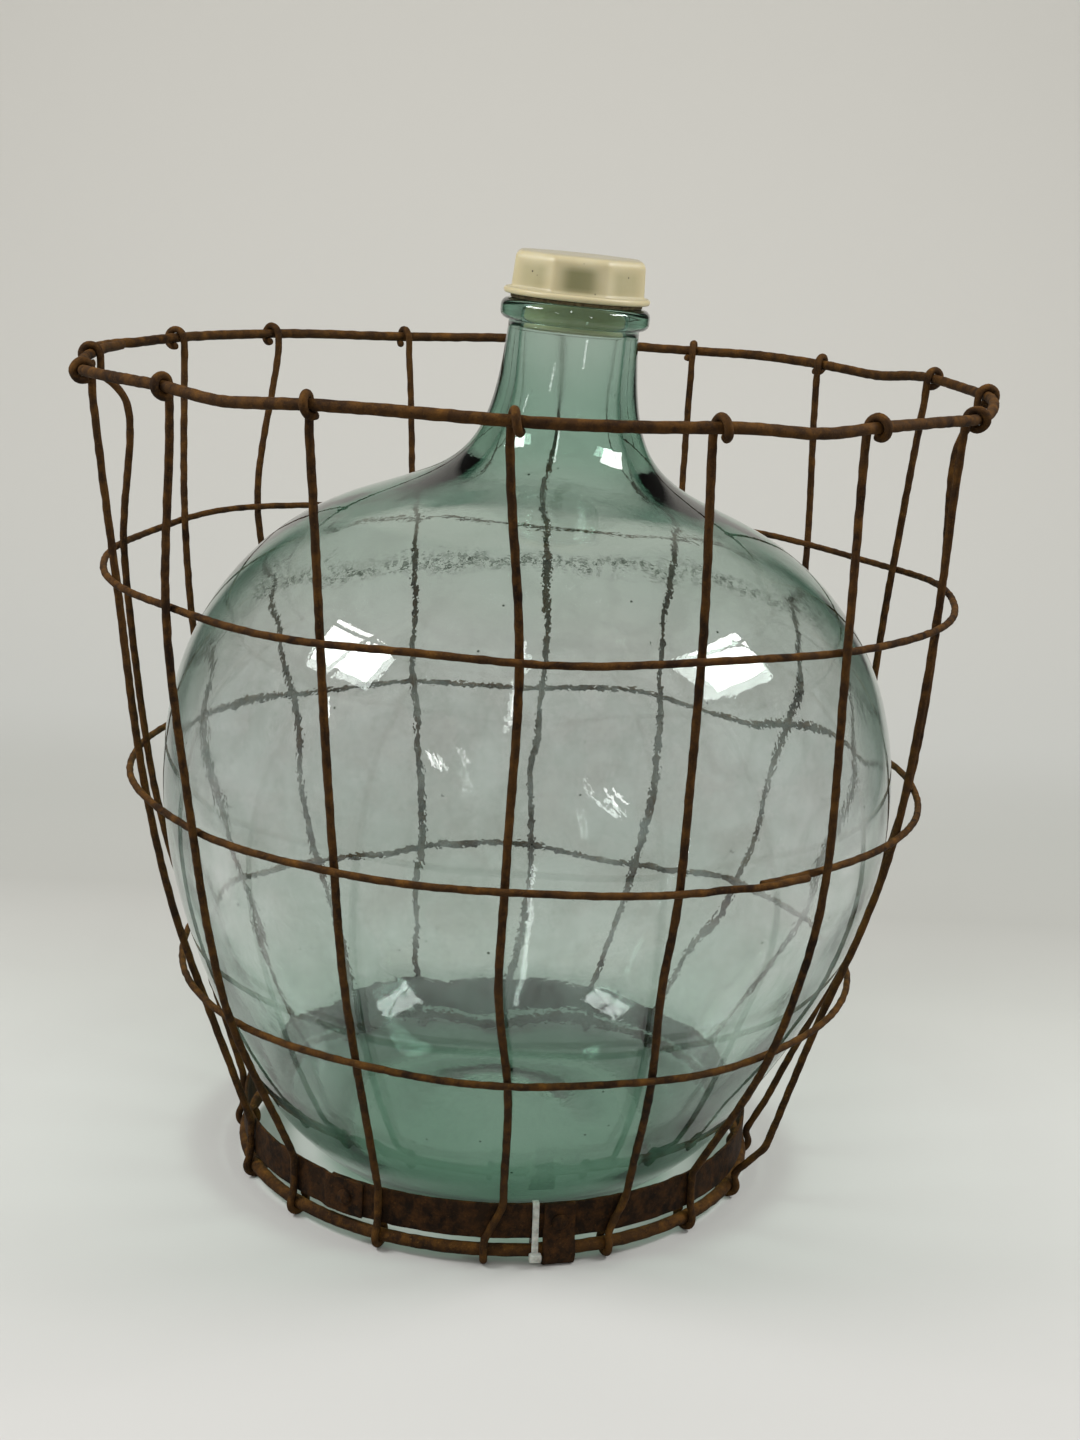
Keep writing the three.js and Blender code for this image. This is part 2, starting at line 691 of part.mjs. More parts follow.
// Cable tie: a loop drawn tight round the band and the base hoop, with its head low on the outside
function tieGeometry() {
  const ringOut = baseWire / 2 + clearance;
  const ringCorner = ringOut * Math.tan(Math.PI / 8);
  const tight = [
    flat(bandInner - clearance, bandTop + clearance),
    flat(baseRadius - ringOut, baseHeight + ringCorner),
    flat(baseRadius - ringOut, baseHeight - ringCorner),
    flat(baseRadius - ringCorner, baseHeight - ringOut),
    flat(baseRadius + ringCorner, baseHeight - ringOut),
    flat(baseRadius + ringOut, baseHeight - ringCorner),
    flat(baseRadius + ringOut, baseHeight + ringCorner),
    flat(bandOuter + clearance, bandTop + clearance),
  ];
  const count = tight.length;
  const wide = tight.map((point, i) => {
    const before = point.clone().sub(tight[(i + count - 1) % count]).normalize();
    const after = tight[(i + 1) % count].clone().sub(point).normalize();
    const away = flat(before.y + after.y, -before.x - after.x).normalize();
    const bendShare = away.dot(flat(before.y, -before.x));
    return point.clone().addScaledVector(away, tieThickness / bendShare);
  });
  const loop = new THREE.Shape(wide);
  loop.holes.push(new THREE.Path(tight));
  const strip = new THREE.ExtrudeGeometry(loop, { depth: tieWidth, bevelEnabled: false });
  strip.translate(0, 0, -tieWidth / 2).rotateX(Math.PI / 2);
  const head = new THREE.BoxGeometry(tieHeadDepth, tieHeadWidth, tieHeadHeight);
  head.translate(baseRadius + ringOut + tieThickness / 2 + tieHeadDepth / 2, 0, baseHeight - ringCorner);
  return geometryOf(solidOf(strip).add(solidOf(head)));
}

const tieAway = plateWidth / 2 + tieGap + tieHeadWidth / 2;
const tieAngle = plateAngle - degrees(tieAway / bandOuter);
addPiece("cable_tie", tieGeometry(), greyNylon).rotation.z = radians(tieAngle - 90);

// The basket is measured from the middle of its base hoop. The rim, which is widest, stands over the origin
carboy.position.x = -rimShift;

export default carboy;
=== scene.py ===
import bpy
import numpy as np
from mathutils import Matrix, Vector


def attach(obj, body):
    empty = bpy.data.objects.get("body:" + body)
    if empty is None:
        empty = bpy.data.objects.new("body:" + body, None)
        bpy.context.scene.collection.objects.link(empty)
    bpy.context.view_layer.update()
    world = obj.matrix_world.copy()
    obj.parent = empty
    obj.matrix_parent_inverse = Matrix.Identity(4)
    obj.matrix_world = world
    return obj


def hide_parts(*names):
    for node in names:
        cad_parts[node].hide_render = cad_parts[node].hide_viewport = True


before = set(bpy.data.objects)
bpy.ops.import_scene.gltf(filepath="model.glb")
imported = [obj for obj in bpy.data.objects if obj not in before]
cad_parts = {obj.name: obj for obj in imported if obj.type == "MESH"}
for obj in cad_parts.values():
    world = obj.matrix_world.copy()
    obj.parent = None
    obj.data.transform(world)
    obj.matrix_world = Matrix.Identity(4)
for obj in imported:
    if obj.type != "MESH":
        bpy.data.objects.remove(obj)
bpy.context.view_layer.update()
mm = 0.001
rimShift = 4.3  # places are measured from the base hoop, the origin is below the rim hoop
overRim = np.array([-rimShift, 0, 0])
straightUp = np.array([0.0, 0.0, 1.0])
print("frame loaded:", len(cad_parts), "nodes")


# surfaces: places are worked out in mm and turned to metres when the mesh is made

def outward(angle):  # direction away from the middle, degrees from the front towards the right
    a = np.radians(np.asarray(angle, float))
    return np.stack([np.sin(a), -np.cos(a), np.zeros_like(a)], -1)


def sideways(angle):  # direction along a hoop at that angle
    a = np.radians(np.asarray(angle, float))
    return np.stack([np.cos(a), np.sin(a), np.zeros_like(a)], -1)


def upBy(height):  # so far straight up
    return straightUp * np.asarray(height, float)[..., None]


def unit(vectors):  # the same directions, each one long
    return vectors / np.maximum(np.linalg.norm(vectors, axis=-1, keepdims=True), 1e-12)


def ease(share):  # 0 to 1 with level ends: 3 s^2 - 2 s^3
    share = np.clip(share, 0, 1)
    return share * share * (3 - 2 * share)


# seeds of the random lumps, one for each use
seeds = dict(swell=3, wall=5, inside=7, outside=8, sway=(21, 22, 23), wear=31, dent=41, pock=42, beaten=51)


def lumps(places, size, seed, waves=20):
    # sum of sine waves in random directions, each about one size long, with mean 0 and spread 1
    dice = np.random.default_rng(seed)
    way = unit(dice.normal(size=(waves, 3))) * (2 * np.pi / size)
    way = way * dice.uniform(0.6, 1.4, (waves, 1))
    return np.sin(places @ way.T + dice.uniform(0, 2 * np.pi, waves)).sum(-1) * np.sqrt(2 / waves)


def resampled(path, step):  # the same line with points one step apart
    gone = np.concatenate([[0], np.cumsum(np.linalg.norm(np.diff(path, axis=0), axis=1))])
    places = np.linspace(0, gone[-1], max(int(round(gone[-1] / step)), 2) + 1)
    return np.stack([np.interp(places, gone, path[:, k]) for k in range(3)], -1)


def softened(path, times=3):  # each point moves to the mean of itself and its neighbours; the ends stay
    for _ in range(times):
        path = np.concatenate([path[:1], path[:-2] / 4 + path[1:-1] / 2 + path[2:] / 4, path[-1:]])
    return path


def throughStations(stations, count):
    # centripetal Catmull-Rom: cubic Hermite pieces, knots spaced by the square root of the distance
    before = np.concatenate([2 * stations[:1] - stations[1:2], stations[:-2]])
    after = np.concatenate([stations[2:], 2 * stations[-1:] - stations[-2:-1]])
    here, there = stations[:-1], stations[1:]
    pairs = ((before, here), (here, there), (there, after))
    gaps = [np.sqrt(np.linalg.norm(b - a, axis=1))[:, None] for a, b in pairs]
    leave = (here - before) / gaps[0] - (there - before) / (gaps[0] + gaps[1]) + (there - here) / gaps[1]
    arrive = (there - here) / gaps[1] - (after - here) / (gaps[1] + gaps[2]) + (after - there) / gaps[2]
    leave, arrive = leave * gaps[1], arrive * gaps[1]
    t = np.linspace(0, 1, count, endpoint=False)[None, :, None]
    bend = ((2 * t**3 - 3 * t**2 + 1) * here[:, None] + (t**3 - 2 * t**2 + t) * leave[:, None]
            + (3 * t**2 - 2 * t**3) * there[:, None] + (t**3 - t**2) * arrive[:, None])
    return np.concatenate([bend.reshape(-1, 3), stations[-1:]])


def roundBar(radius, sides):  # outline of round stock
    a = np.linspace(0, 2 * np.pi, sides, endpoint=False)
    return np.stack([np.cos(a), np.sin(a)], -1) * radius


def flatBar(thickness, width, edge, perEdge=4, perFace=7):
    # outline of flat stock: quarter circles at the corners and straight faces between them
    a = np.linspace(0, np.pi / 2, perEdge)
    halfT, halfW = thickness / 2 - edge, width / 2 - edge
    corner = np.stack([np.cos(a), np.sin(a)], -1) * edge
    right = corner + [halfT, halfW]
    left = corner[:, ::-1] * [-1, 1] + [-halfT, halfW]
    top = np.concatenate([right, left])
    down = np.stack([np.full(perFace, -thickness / 2), np.linspace(halfW, -halfW, perFace + 2)[1:-1]], -1)
    return np.concatenate([top, down, -top, -down])


def swept(path, outline, side, closed=False, tipReach=0.3, tipSize=0.8):
    # ring i stands at path point i: outline x goes across, outline y goes along the side direction;
    # an open path ends in a smaller ring a little further on
    if closed:
        ahead = unit(np.roll(path, -1, 0) - np.roll(path, 1, 0))
    else:
        ahead = unit(np.gradient(path, axis=0))
        reach = np.abs(outline).min(axis=1).max() * tipReach
        path = np.concatenate([path[:1] - ahead[:1] * reach, path, path[-1:] + ahead[-1:] * reach])
        ahead = np.concatenate([ahead[:1], ahead, ahead[-1:]])
    across = unit(np.cross(np.broadcast_to(side, ahead.shape), ahead))
    rise = np.cross(ahead, across)
    size = np.ones((len(path), 1, 1))
    if not closed:
        size[0] = size[-1] = tipSize
    spread = outline[None, :, :1] * across[:, None] + outline[None, :, 1:] * rise[:, None]
    return path[:, None] + spread * size, unit(spread)


def linked(name, places, faces):  # smooth mesh from places in mm, as an object of the scene
    mesh = bpy.data.meshes.new(name)
    mesh.from_pydata((places * mm).tolist(), [], faces)
    mesh.polygons.foreach_set("use_smooth", np.ones(len(mesh.polygons), bool))
    mesh.update()
    piece = bpy.data.objects.new(name, mesh)
    bpy.context.scene.collection.objects.link(piece)
    return piece


def meshPiece(name, rings, closedPath=False):
    # quads between neighbouring rings, each ring closed on itself; open ends meet in a middle point
    count, sides = rings.shape[:2]
    number = np.arange(count * sides).reshape(count, sides)
    upper = np.roll(number, -1, 0) if closedPath else number[1:]
    lower = number if closedPath else number[:-1]
    quads = np.stack([lower, np.roll(lower, -1, 1), np.roll(upper, -1, 1), upper], -1).reshape(-1, 4)
    places = rings.reshape(-1, 3)
    fans = np.zeros((0, 3), int)
    if not closedPath:
        places = np.concatenate([places, rings[0].mean(0)[None], rings[-1].mean(0)[None]])
        first = np.stack([np.roll(number[0], -1), number[0], np.full(sides, count * sides)], -1)
        last = np.stack([number[-1], np.roll(number[-1], -1), np.full(sides, count * sides + 1)], -1)
        fans = np.concatenate([first, last])
    a, b, c, d = (places[quads[:, k]] for k in range(4))
    volume = (np.cross(a, b) * c).sum() + (np.cross(a, c) * d).sum()
    if volume < 0:  # turn the faces outwards
        quads, fans = quads[:, ::-1], fans[:, ::-1]
    return linked(name, places + overRim, quads.tolist() + fans.tolist())


def dressed(piece, material, body, slot, *nodes):  # finish, body and the CAD nodes that a piece stands for
    piece.data.materials.append(material)
    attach(piece, body)
    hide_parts(*nodes)


# material nodes

def hexColour(code):  # sRGB hex to linear, with alpha
    parts = np.array([int(code[k:k + 2], 16) for k in (1, 3, 5)]) / 255
    linear = np.where(parts <= 0.04045, parts / 12.92, ((parts + 0.055) / 1.055) ** 2.4)
    return (*linear.tolist(), 1.0)


def perMetre(size):  # texture scale for a pattern of that size in mm
    return 1000 / size


def span(ends, scale=mm):  # Map Range settings from one end to the other, in mm unless a scale is given
    return {"From Min": ends[0] * scale, "From Max": ends[1] * scale}


def bandStops(places):  # ramp stops that are white between the two middle places, in mm
    return [(place * mm, tone) for place, tone in zip(places, ("#000000", "#ffffff", "#ffffff", "#000000"))]


def addNode(tree, kind, settings={}, links={}):
    # a setting is a socket, a property or a ramp's stops; a link from a node takes its first output in use
    node = tree.nodes.new("ShaderNode" + kind)
    for key, value in settings.items():
        if key == "stops":  # colour ramp: (place, colour) pairs
            ramp = node.color_ramp.elements
            while len(ramp) < len(value):
                ramp.new(0.5)
            for stop, (place, colour) in zip(ramp, value):
                stop.position, stop.color = place, hexColour(colour)
        elif isinstance(key, int) or key in node.inputs:
            node.inputs[key].default_value = hexColour(value) if str(value).startswith("#") else value
        else:
            setattr(node, key, value)
    for key, source in links.items():
        if isinstance(source, bpy.types.Node):
            source = next(socket for socket in source.outputs if socket.enabled)
        tree.links.new(source, node.inputs[key])
    return node


def newFinish(name):  # material with an empty node tree
    material = bpy.data.materials.new(name)
    material.use_nodes = True
    material.node_tree.nodes.clear()
    return material, material.node_tree


# camera, matched to the photo: turns in radians, focal length and image height in pixels

camera = dict(place=(-6.27, -1321.16, 636.84), yaw=0.0146781, pitch=0.2502483, roll=0.0516579,
              focal=2094.3933, imageHeight=1440, sensor=36, near=50, far=50000)


def setCamera():
    # line of sight from yaw and pitch, then the level axes turn about it by the roll
    yaw, pitch, roll = camera["yaw"], camera["pitch"], camera["roll"]
    ahead = np.array([np.sin(yaw) * np.cos(pitch), np.cos(yaw) * np.cos(pitch), -np.sin(pitch)])
    level = unit(np.cross(ahead, straightUp))
    plumb = np.cross(level, ahead)
    right = np.cos(roll) * level + np.sin(roll) * plumb
    above = np.cos(roll) * plumb - np.sin(roll) * level
    axes = np.stack([right, above, -ahead], 1)
    lens = bpy.data.cameras.new("viewCamera")
    lens.sensor_width = camera["sensor"]
    lens.lens = camera["focal"] / camera["imageHeight"] * camera["sensor"]
    lens.clip_start, lens.clip_end = camera["near"] * mm, camera["far"] * mm
    holder = bpy.data.objects.new("viewCamera", lens)
    bpy.context.scene.collection.objects.link(holder)
    holder.matrix_world = Matrix.Translation(Vector(camera["place"]) * mm) @ Matrix(axes.tolist()).to_4x4()
    bpy.context.scene.camera = holder
    bpy.context.scene.view_settings.view_transform = "Standard"


setCamera()


# seamless paper: floor, a wide bend and a wall, one sheet

paper = dict(front=-4200, bendFrom=900, bendRadius=900, bendPoints=24, top=4200, halfWidth=4200,
             toned=(-800, 1800),  # front to back, where the tones below, painted light and shade, lie at shares of that depth
             tones=((0.187, "#cbcac7"), (0.275, "#d1d0cd"), (0.334, "#d2d1ce"), (0.407, "#cccbc7"),
                    (0.5, "#b9b9b4"), (0.6, "#bfc0bb"), (0.72, "#cccdc9"), (1.0, "#d9d7d1")),
             beside=(850, 1050), besideShare=0.9, besideTone="#1c1c1b")


def mirrored(tree):  # 1 on a ray that a shiny surface reflected, 0 on one that only passed through glass
    path = addNode(tree, "LightPath")
    return addNode(tree, "Math", {"operation": "SUBTRACT", "use_clamp": True},
                   {0: path.outputs["Is Glossy Ray"], 1: path.outputs["Is Transmission Ray"]})


def rolledPaper():
    # matt rolled paper whose tones are painted light and shade: grey for the shadow of the bend, a little
    # warmer on the wall;
    # its sides turn dark in reflections, and from behind it is clear, so the back of the object shows
    material, tree = newFinish("backgroundPaper")
    place = addNode(tree, "TexCoord").outputs["Object"]
    x, y, _ = addNode(tree, "SeparateXYZ", {}, {0: place}).outputs
    depth = addNode(tree, "MapRange", span(paper["toned"]), {"Value": y})
    tone = addNode(tree, "ValToRGB", {"stops": paper["tones"]}, {"Fac": depth})
    across = addNode(tree, "Math", {"operation": "ABSOLUTE"}, {0: x})
    beside = addNode(tree, "MapRange", {**span(paper["beside"]), "To Max": paper["besideShare"]},
                     {"Value": across})
    dark = addNode(tree, "Math", {"operation": "MULTIPLY"}, {0: beside, 1: mirrored(tree)})
    seen = addNode(tree, "Mix", {"data_type": "RGBA", 7: paper["besideTone"]}, {0: dark, 6: tone})
    skin = addNode(tree, "BsdfPrincipled", {"Roughness": 0.9, "Specular IOR Level": 0.1},
                   {"Base Color": seen})
    clear = addNode(tree, "BsdfTransparent")
    behind = addNode(tree, "NewGeometry").outputs["Backfacing"]
    both = addNode(tree, "MixShader", {}, {0: behind, 1: skin, 2: clear})
    addNode(tree, "OutputMaterial", {}, {"Surface": both})
    return material


def paperSheet():
    # line in the y-z plane (floor, quarter circle, wall) carried straight across x
    a = np.linspace(0, np.pi / 2, paper["bendPoints"])
    bend = np.stack([paper["bendFrom"] + paper["bendRadius"] * np.sin(a),
                     paper["bendRadius"] * (1 - np.cos(a))], -1)
    line = np.concatenate([[[paper["front"], 0]], bend, [[bend[-1, 0], paper["top"]]]])
    x = np.linspace(-paper["halfWidth"], paper["halfWidth"], 3)
    places = np.stack(np.broadcast_arrays(x[None], line[:, :1], line[:, 1:]), -1).reshape(-1, 3)
    number = np.arange(len(places)).reshape(len(line), 3)
    quads = np.stack([number[:-1, :-1], number[:-1, 1:], number[1:, 1:], number[1:, :-1]], -1).reshape(-1, 4)
    return linked("paperSweep", places, quads.tolist())


sheet = paperSheet()
sheet.data.materials.append(rolledPaper())


# two softboxes, a ceiling tube, thin tubes and an even fill

lampAim = 360  # height that the lamps point at
lampList = [
    dict(name="leftSoftbox", turn=-74, rise=40, away=1600, size=(680, 420), radiance=18, roll=12),
    dict(name="rightSoftbox", turn=83, rise=41, away=1600, size=(680, 420), radiance=17, roll=-12),
    dict(name="ceilingTube", turn=-5, rise=50, away=2200, size=(70, 1300), radiance=9.0, roll=0),
]
thinTube = dict(name="thinTube", away=1600, size=(20, 170), radiance=12, roll=35)
for turn, rise in ((-67, 21.6), (-27, 15.6), (24, 8.5)):  # pairs of thin tubes, seen only as small glints
    lampList += [dict(thinTube, turn=turn + side, rise=rise) for side in (-1, 1)]
fill = dict(colour="#faf9f6", strength=0.58, mirrored=0.12)  # dim in reflections, to draw the glass edges


def setLamp(lamp):  # rectangle so far away from the aim, turned to face it
    rise = np.radians(lamp["rise"])
    way = outward(lamp["turn"]) * np.cos(rise) + upBy(np.sin(rise))
    data = bpy.data.lights.new(lamp["name"], "AREA")
    data.shape = "RECTANGLE"
    data.size, data.size_y = (length * mm for length in lamp["size"])
    data.energy = lamp["radiance"] * np.pi * data.size * data.size_y  # watts for that radiance
    holder = bpy.data.objects.new(lamp["name"], data)
    bpy.context.scene.collection.objects.link(holder)
    holder.location = (upBy(lampAim) + way * lamp["away"]) * mm
    facing = Vector(-way).to_track_quat("-Z", "Y").to_matrix()
    holder.rotation_euler = (facing @ Matrix.Rotation(np.radians(lamp["roll"]), 3, "Z")).to_euler()


def setFill():  # even light from all sides, dimmer on rays that were reflected
    world = bpy.data.worlds.new("studioFill")
    world.use_nodes = True
    tree = world.node_tree
    tree.nodes.clear()
    level = addNode(tree, "MapRange", {"To Min": fill["strength"], "To Max": fill["mirrored"]},
                    {"Value": mirrored(tree)})
    sky = addNode(tree, "Background", {"Color": fill["colour"]}, {"Strength": level})
    addNode(tree, "OutputWorld", {}, {"Surface": sky})
    bpy.context.scene.world = world


for lamp in lampList:
    setLamp(lamp)
setFill()
print("camera, paper and lamps set")


# bottle: outside as in the CAD, heights above the floor

bottle = dict(foot=104, heel=159, heelHeight=48.3, heelSlope=57.7, belly=236, bellyHeight=257.6,
              shoulder=119, shoulderHeight=439.6, shoulderSlope=21,
              neck=40.5, neckHeight=553.6, neckTaper=3, lip=46.5, lipHeight=13, lipRound=5,
              lipSeam=(0.15, -0.4), bore=33.5, boreDepth=48, mouthRound=1.5,
              heelWall=8.5, bellyWall=2.3, shoulderWall=4.8, floor=12, punt=92, puntRise=20, pole=1,
              lean=2.9, leanHeight=224.6, shift=3.5,
              outsidePoints=(24, 26, 46, 52, 44), insidePoints=(14, 22, 38, 42, 30), spokes=224,
              swell=0.4, swellSize=150, wallWave=0.22, wallSize=105, ripple=0.03, rippleSize=32,
              trueRadius=45, trueFade=90, trueHeight=20, trueRise=60)  # neck and foot stay true
# how far the outline keeps its slope at each place, as a share of the stretch below or above it
pull = dict(punt=0.4, foot=0.08, floor=0.35, heelBelow=0.35, heelAbove=0.284, bellyBelow=0.32,
            bellyAbove=0.42, shoulderBelow=0.36, shoulderAbove=0.47, neck=0.6, bore=0.5)
lipTop = bottle["neckHeight"] + bottle["lipHeight"]


def stretch(start, startSlope, startPull, end, endSlope, endPull, count):
    # cubic Bezier whose handles lie along the two slopes, as shares of the straight distance
    start, end = np.array(start, float), np.array(end, float)
    reach = np.linalg.norm(end - start)
    slopes = np.radians([startSlope, endSlope])
    leave = start + startPull * reach * np.array([np.cos(slopes[0]), np.sin(slopes[0])])
    arrive = end - endPull * reach * np.array([np.cos(slopes[1]), np.sin(slopes[1])])
    t = np.linspace(0, 1, count)[:, None]
    return (1 - t)**3 * start + 3 * (1 - t)**2 * t * leave + 3 * (1 - t) * t**2 * arrive + t**3 * end


def roundEdge(centre, radius, fromAngle, toAngle, count):  # arc of a circle, angles in degrees
    a = np.radians(np.linspace(fromAngle, toAngle, count))
    return np.array(centre) + radius * np.stack([np.cos(a), np.sin(a)], -1)


def intoGlass(point, slope, depth):  # the place that lies so deep under the outside
    a = np.radians(slope)
    return np.array([point[0] - depth * np.sin(a), point[1] + depth * np.cos(a)])


def bottleOutlines():
    # radius and height: Bezier stretches from the punt to the neck, arcs round the lip, and for the
    # inside like stretches set in by the wall, from the mouth down to the floor
    b, p = bottle, pull
    shoulderRun, neckRun = 180 - b["shoulderSlope"], 90 + b["neckTaper"]
    heel, belly = (b["heel"], b["heelHeight"]), (b["belly"], b["bellyHeight"])
    shoulder, neck = (b["shoulder"], b["shoulderHeight"]), (b["neck"], b["neckHeight"])
    points = b["outsidePoints"]
    outside = np.concatenate([
        stretch((b["pole"], b["puntRise"]), 0, p["punt"], (b["punt"], 0), 0, p["punt"], points[0]),
        stretch((b["foot"], 0), 0, p["foot"], heel, b["heelSlope"], p["heelBelow"], points[1])[:-1],
        stretch(heel, b["heelSlope"], p["heelAbove"], belly, 90, p["bellyBelow"], points[2])[:-1],
        stretch(belly, 90, p["bellyAbove"], shoulder, shoulderRun, p["shoulderBelow"], points[3])[:-1],
        stretch(shoulder, shoulderRun, p["shoulderAbove"], neck, neckRun, p["neck"], points[4])[:-1]])
    middle, mouth = b["lip"] - b["lipRound"], b["bore"] + b["mouthRound"]
    lip = np.concatenate([
        [np.add(neck, b["lipSeam"])],
        roundEdge((middle, b["neckHeight"] + b["lipRound"]), b["lipRound"], -90, 0, 9),
        roundEdge((middle, lipTop - b["lipRound"]), b["lipRound"], 0, 90, 9),
        roundEdge((mouth, lipTop - b["mouthRound"]), b["mouthRound"], 90, 180, 6)])
    innerHeel = intoGlass(heel, b["heelSlope"], b["heelWall"])
    innerShoulder = intoGlass(shoulder, shoulderRun, b["shoulderWall"])
    innerBelly = (b["belly"] - b["bellyWall"], b["bellyHeight"])
    floorMiddle, floorEdge = (b["pole"], b["puntRise"] + b["floor"]), (b["punt"], b["floor"])
    boreFoot = (b["bore"], lipTop - b["boreDepth"])
    points = b["insidePoints"]
    inside = np.concatenate([
        stretch(floorMiddle, 0, p["punt"], floorEdge, 0, p["floor"], points[0])[:-1],
        stretch(floorEdge, 0, p["floor"], innerHeel, b["heelSlope"], p["heelBelow"], points[1])[:-1],
        stretch(innerHeel, b["heelSlope"], p["heelAbove"], innerBelly, 90, p["bellyBelow"], points[2])[:-1],
        stretch(innerBelly, 90, p["bellyAbove"],
                innerShoulder, shoulderRun, p["shoulderBelow"], points[3])[:-1],
        stretch(innerShoulder, shoulderRun, p["shoulderAbove"], boreFoot, 90, p["bore"], points[4]),
        [[b["bore"], lipTop - b["boreDepth"] / 2]]])[::-1]
    return outside, lip, inside


def leanAt(height):  # sideways place and tilt of the axis: it bends over leanHeight, then runs straight
    share = np.clip(height / bottle["leanHeight"], 0, 1)
    run = bottle["leanHeight"] * (share**3 - share**4 / 2) + np.maximum(height - bottle["leanHeight"], 0)
    lean = np.radians(bottle["lean"])
    return bottle["shift"] + lean * run, lean * ease(share)


def leaned(places):  # x turns with the axis at its own height
    shift, tilt = leanAt(places[..., 2])
    x = places[..., 0]
    return np.stack([shift + x * np.cos(tilt), places[..., 1], places[..., 2] - x * np.sin(tilt)], -1)


def bottleSurface():
    # outline turned about z; outside swells gently, inside varies the wall, and each level leans
    b = bottle
    outside, lip, inside = bottleOutlines()
    outline = np.concatenate([outside, lip, inside])
    a = np.linspace(0, 2 * np.pi, b["spokes"], endpoint=False)
    ring = np.stack([np.cos(a), np.sin(a)], -1)
    flat = outline[:, None, :1] * ring[None]
    tall = flat.shape[:2] + (1,)
    places = np.concatenate([flat, np.broadcast_to(outline[:, None, 1:], tall)], -1)
    free = ease((outline[:, 0] - b["trueRadius"]) / b["trueFade"])
    free = free * ease((outline[:, 1] - b["trueHeight"]) / b["trueRise"])
    inner = np.arange(len(outline)) >= len(outside) + len(lip)
    wave = b["swell"] * lumps(places, b["swellSize"], seeds["swell"])
    wave = wave + inner[:, None] * b["wallWave"] * lumps(places, b["wallSize"], seeds["wall"])
    wave = wave + b["ripple"] * np.where(inner[:, None], lumps(places, b["rippleSize"], seeds["inside"]),
                                         lumps(places, b["rippleSize"], seeds["outside"]))
    slope = unit(np.gradient(outline, axis=0))
    normal = np.concatenate([ring[None] * slope[:, None, 1:], np.broadcast_to(-slope[:, None, :1], tall)], -1)
    normal[inner] = -normal[inner]
    return leaned(places + normal * (wave * free[:, None])[..., None])


# glass: heights, distances, pattern sizes and depths in mm, limits of facing and of noise as shares

glass = dict(index=1.52, body="#81c2aa", bodyDensity=50.0, shadow="#f8f9f8",
             ripple=8, rippleDepth=0.03, grain=2.6, grainDepth=0.012,
             dry="#fbfcfb", film=70, filmTones=((0.45, "#f6f4f5"), (0.52, "#edebeb"), (0.60, "#f8f6f7")),
             filmLevels=(80, 240, 370, 420),
             edge="#4d8570", edgeFacing=(0.61, 0.75), edgeRise=(280, 420), edgeLow=0.4,
             tide="#565a52", tideLevels=(373, 379, 384, 390), tideWander=16, tideSize=45, tideGrain=4,
             tideBreaks=(0.52, 0.58), seedSpacing=26, seedTones=((0.028, "#3c4038"), (0.036, "#ffffff")),
             heel="#a6b9b1", heelFall=(60, 35), outer=(98, 112), back=(0, 50),
             lime=0.19, limeSize=38, limeBreaks=(0.38, 0.58), limeLevels=(16, 30, 240, 340),
             flank=(100, 170), neckDull=0.16, neckRise=(485, 505), neckBack=(0, 20))


def glassRipple(tree, place):  # slow ripple under a fine grain
    slow = addNode(tree, "TexNoise", {"Scale": perMetre(glass["ripple"]), "Detail": 2.0}, {"Vector": place})
    rippled = addNode(tree, "Bump", {"Distance": glass["rippleDepth"] * mm}, {"Height": slow})
    fine = addNode(tree, "TexNoise", {"Scale": perMetre(glass["grain"]), "Detail": 1.0}, {"Vector": place})
    return addNode(tree, "Bump", {"Distance": glass["grainDepth"] * mm}, {"Height": fine, "Normal": rippled})


def driedFilm(tree, place, z):  # cloudy film from above the floor to the shoulder
    cloud = addNode(tree, "TexNoise", {"Scale": perMetre(glass["film"]), "Detail": 6.0, "Roughness": 0.62},
                    {"Vector": place})
    film = addNode(tree, "ValToRGB", {"stops": glass["filmTones"]}, {"Fac": cloud})
    wetted = addNode(tree, "ValToRGB", {"stops": bandStops(glass["filmLevels"])}, {"Fac": z})
    return addNode(tree, "Mix", {"data_type": "RGBA", 6: glass["dry"]}, {0: wetted, 7: film})


def darkEdge(tree, tone, z):  # the eye looks along the wall at the edge, most of all at the thick shoulder
    facing = addNode(tree, "LayerWeight", {"Blend": 0.5}).outputs["Facing"]
    edge = addNode(tree, "MapRange", span(glass["edgeFacing"], 1), {"Value": facing})
    high = addNode(tree, "MapRange", {**span(glass["edgeRise"]), "To Min": glass["edgeLow"]}, {"Value": z})
    share = addNode(tree, "Math", {"operation": "MULTIPLY"}, {0: edge, 1: high})
    return addNode(tree, "Mix", {"data_type": "RGBA", 7: glass["edge"]}, {0: share, 6: tone})


def tideMark(tree, tone, place, z, back):  # a broken ring of dark specks on the back of the shoulder
    wander, grains = (
        addNode(tree, "TexNoise", {"Scale": perMetre(glass[size]), "Detail": 3.0}, {"Vector": place})
        for size in ("tideSize", "tideGrain"))
    level = addNode(tree, "Math", {"operation": "MULTIPLY_ADD", 1: glass["tideWander"] * mm},
                    {0: wander, 2: z})
    ring = addNode(tree, "ValToRGB", {"stops": bandStops(glass["tideLevels"])}, {"Fac": level})
    broken = addNode(tree, "MapRange", span(glass["tideBreaks"], 1), {"Value": grains})
    specks = addNode(tree, "Math", {"operation": "MULTIPLY"}, {0: broken, 1: back})
    mark = addNode(tree, "Math", {"operation": "MULTIPLY"}, {0: specks, 1: ring})
    return addNode(tree, "Mix", {"data_type": "RGBA", 7: glass["tide"]}, {0: mark, 6: tone})


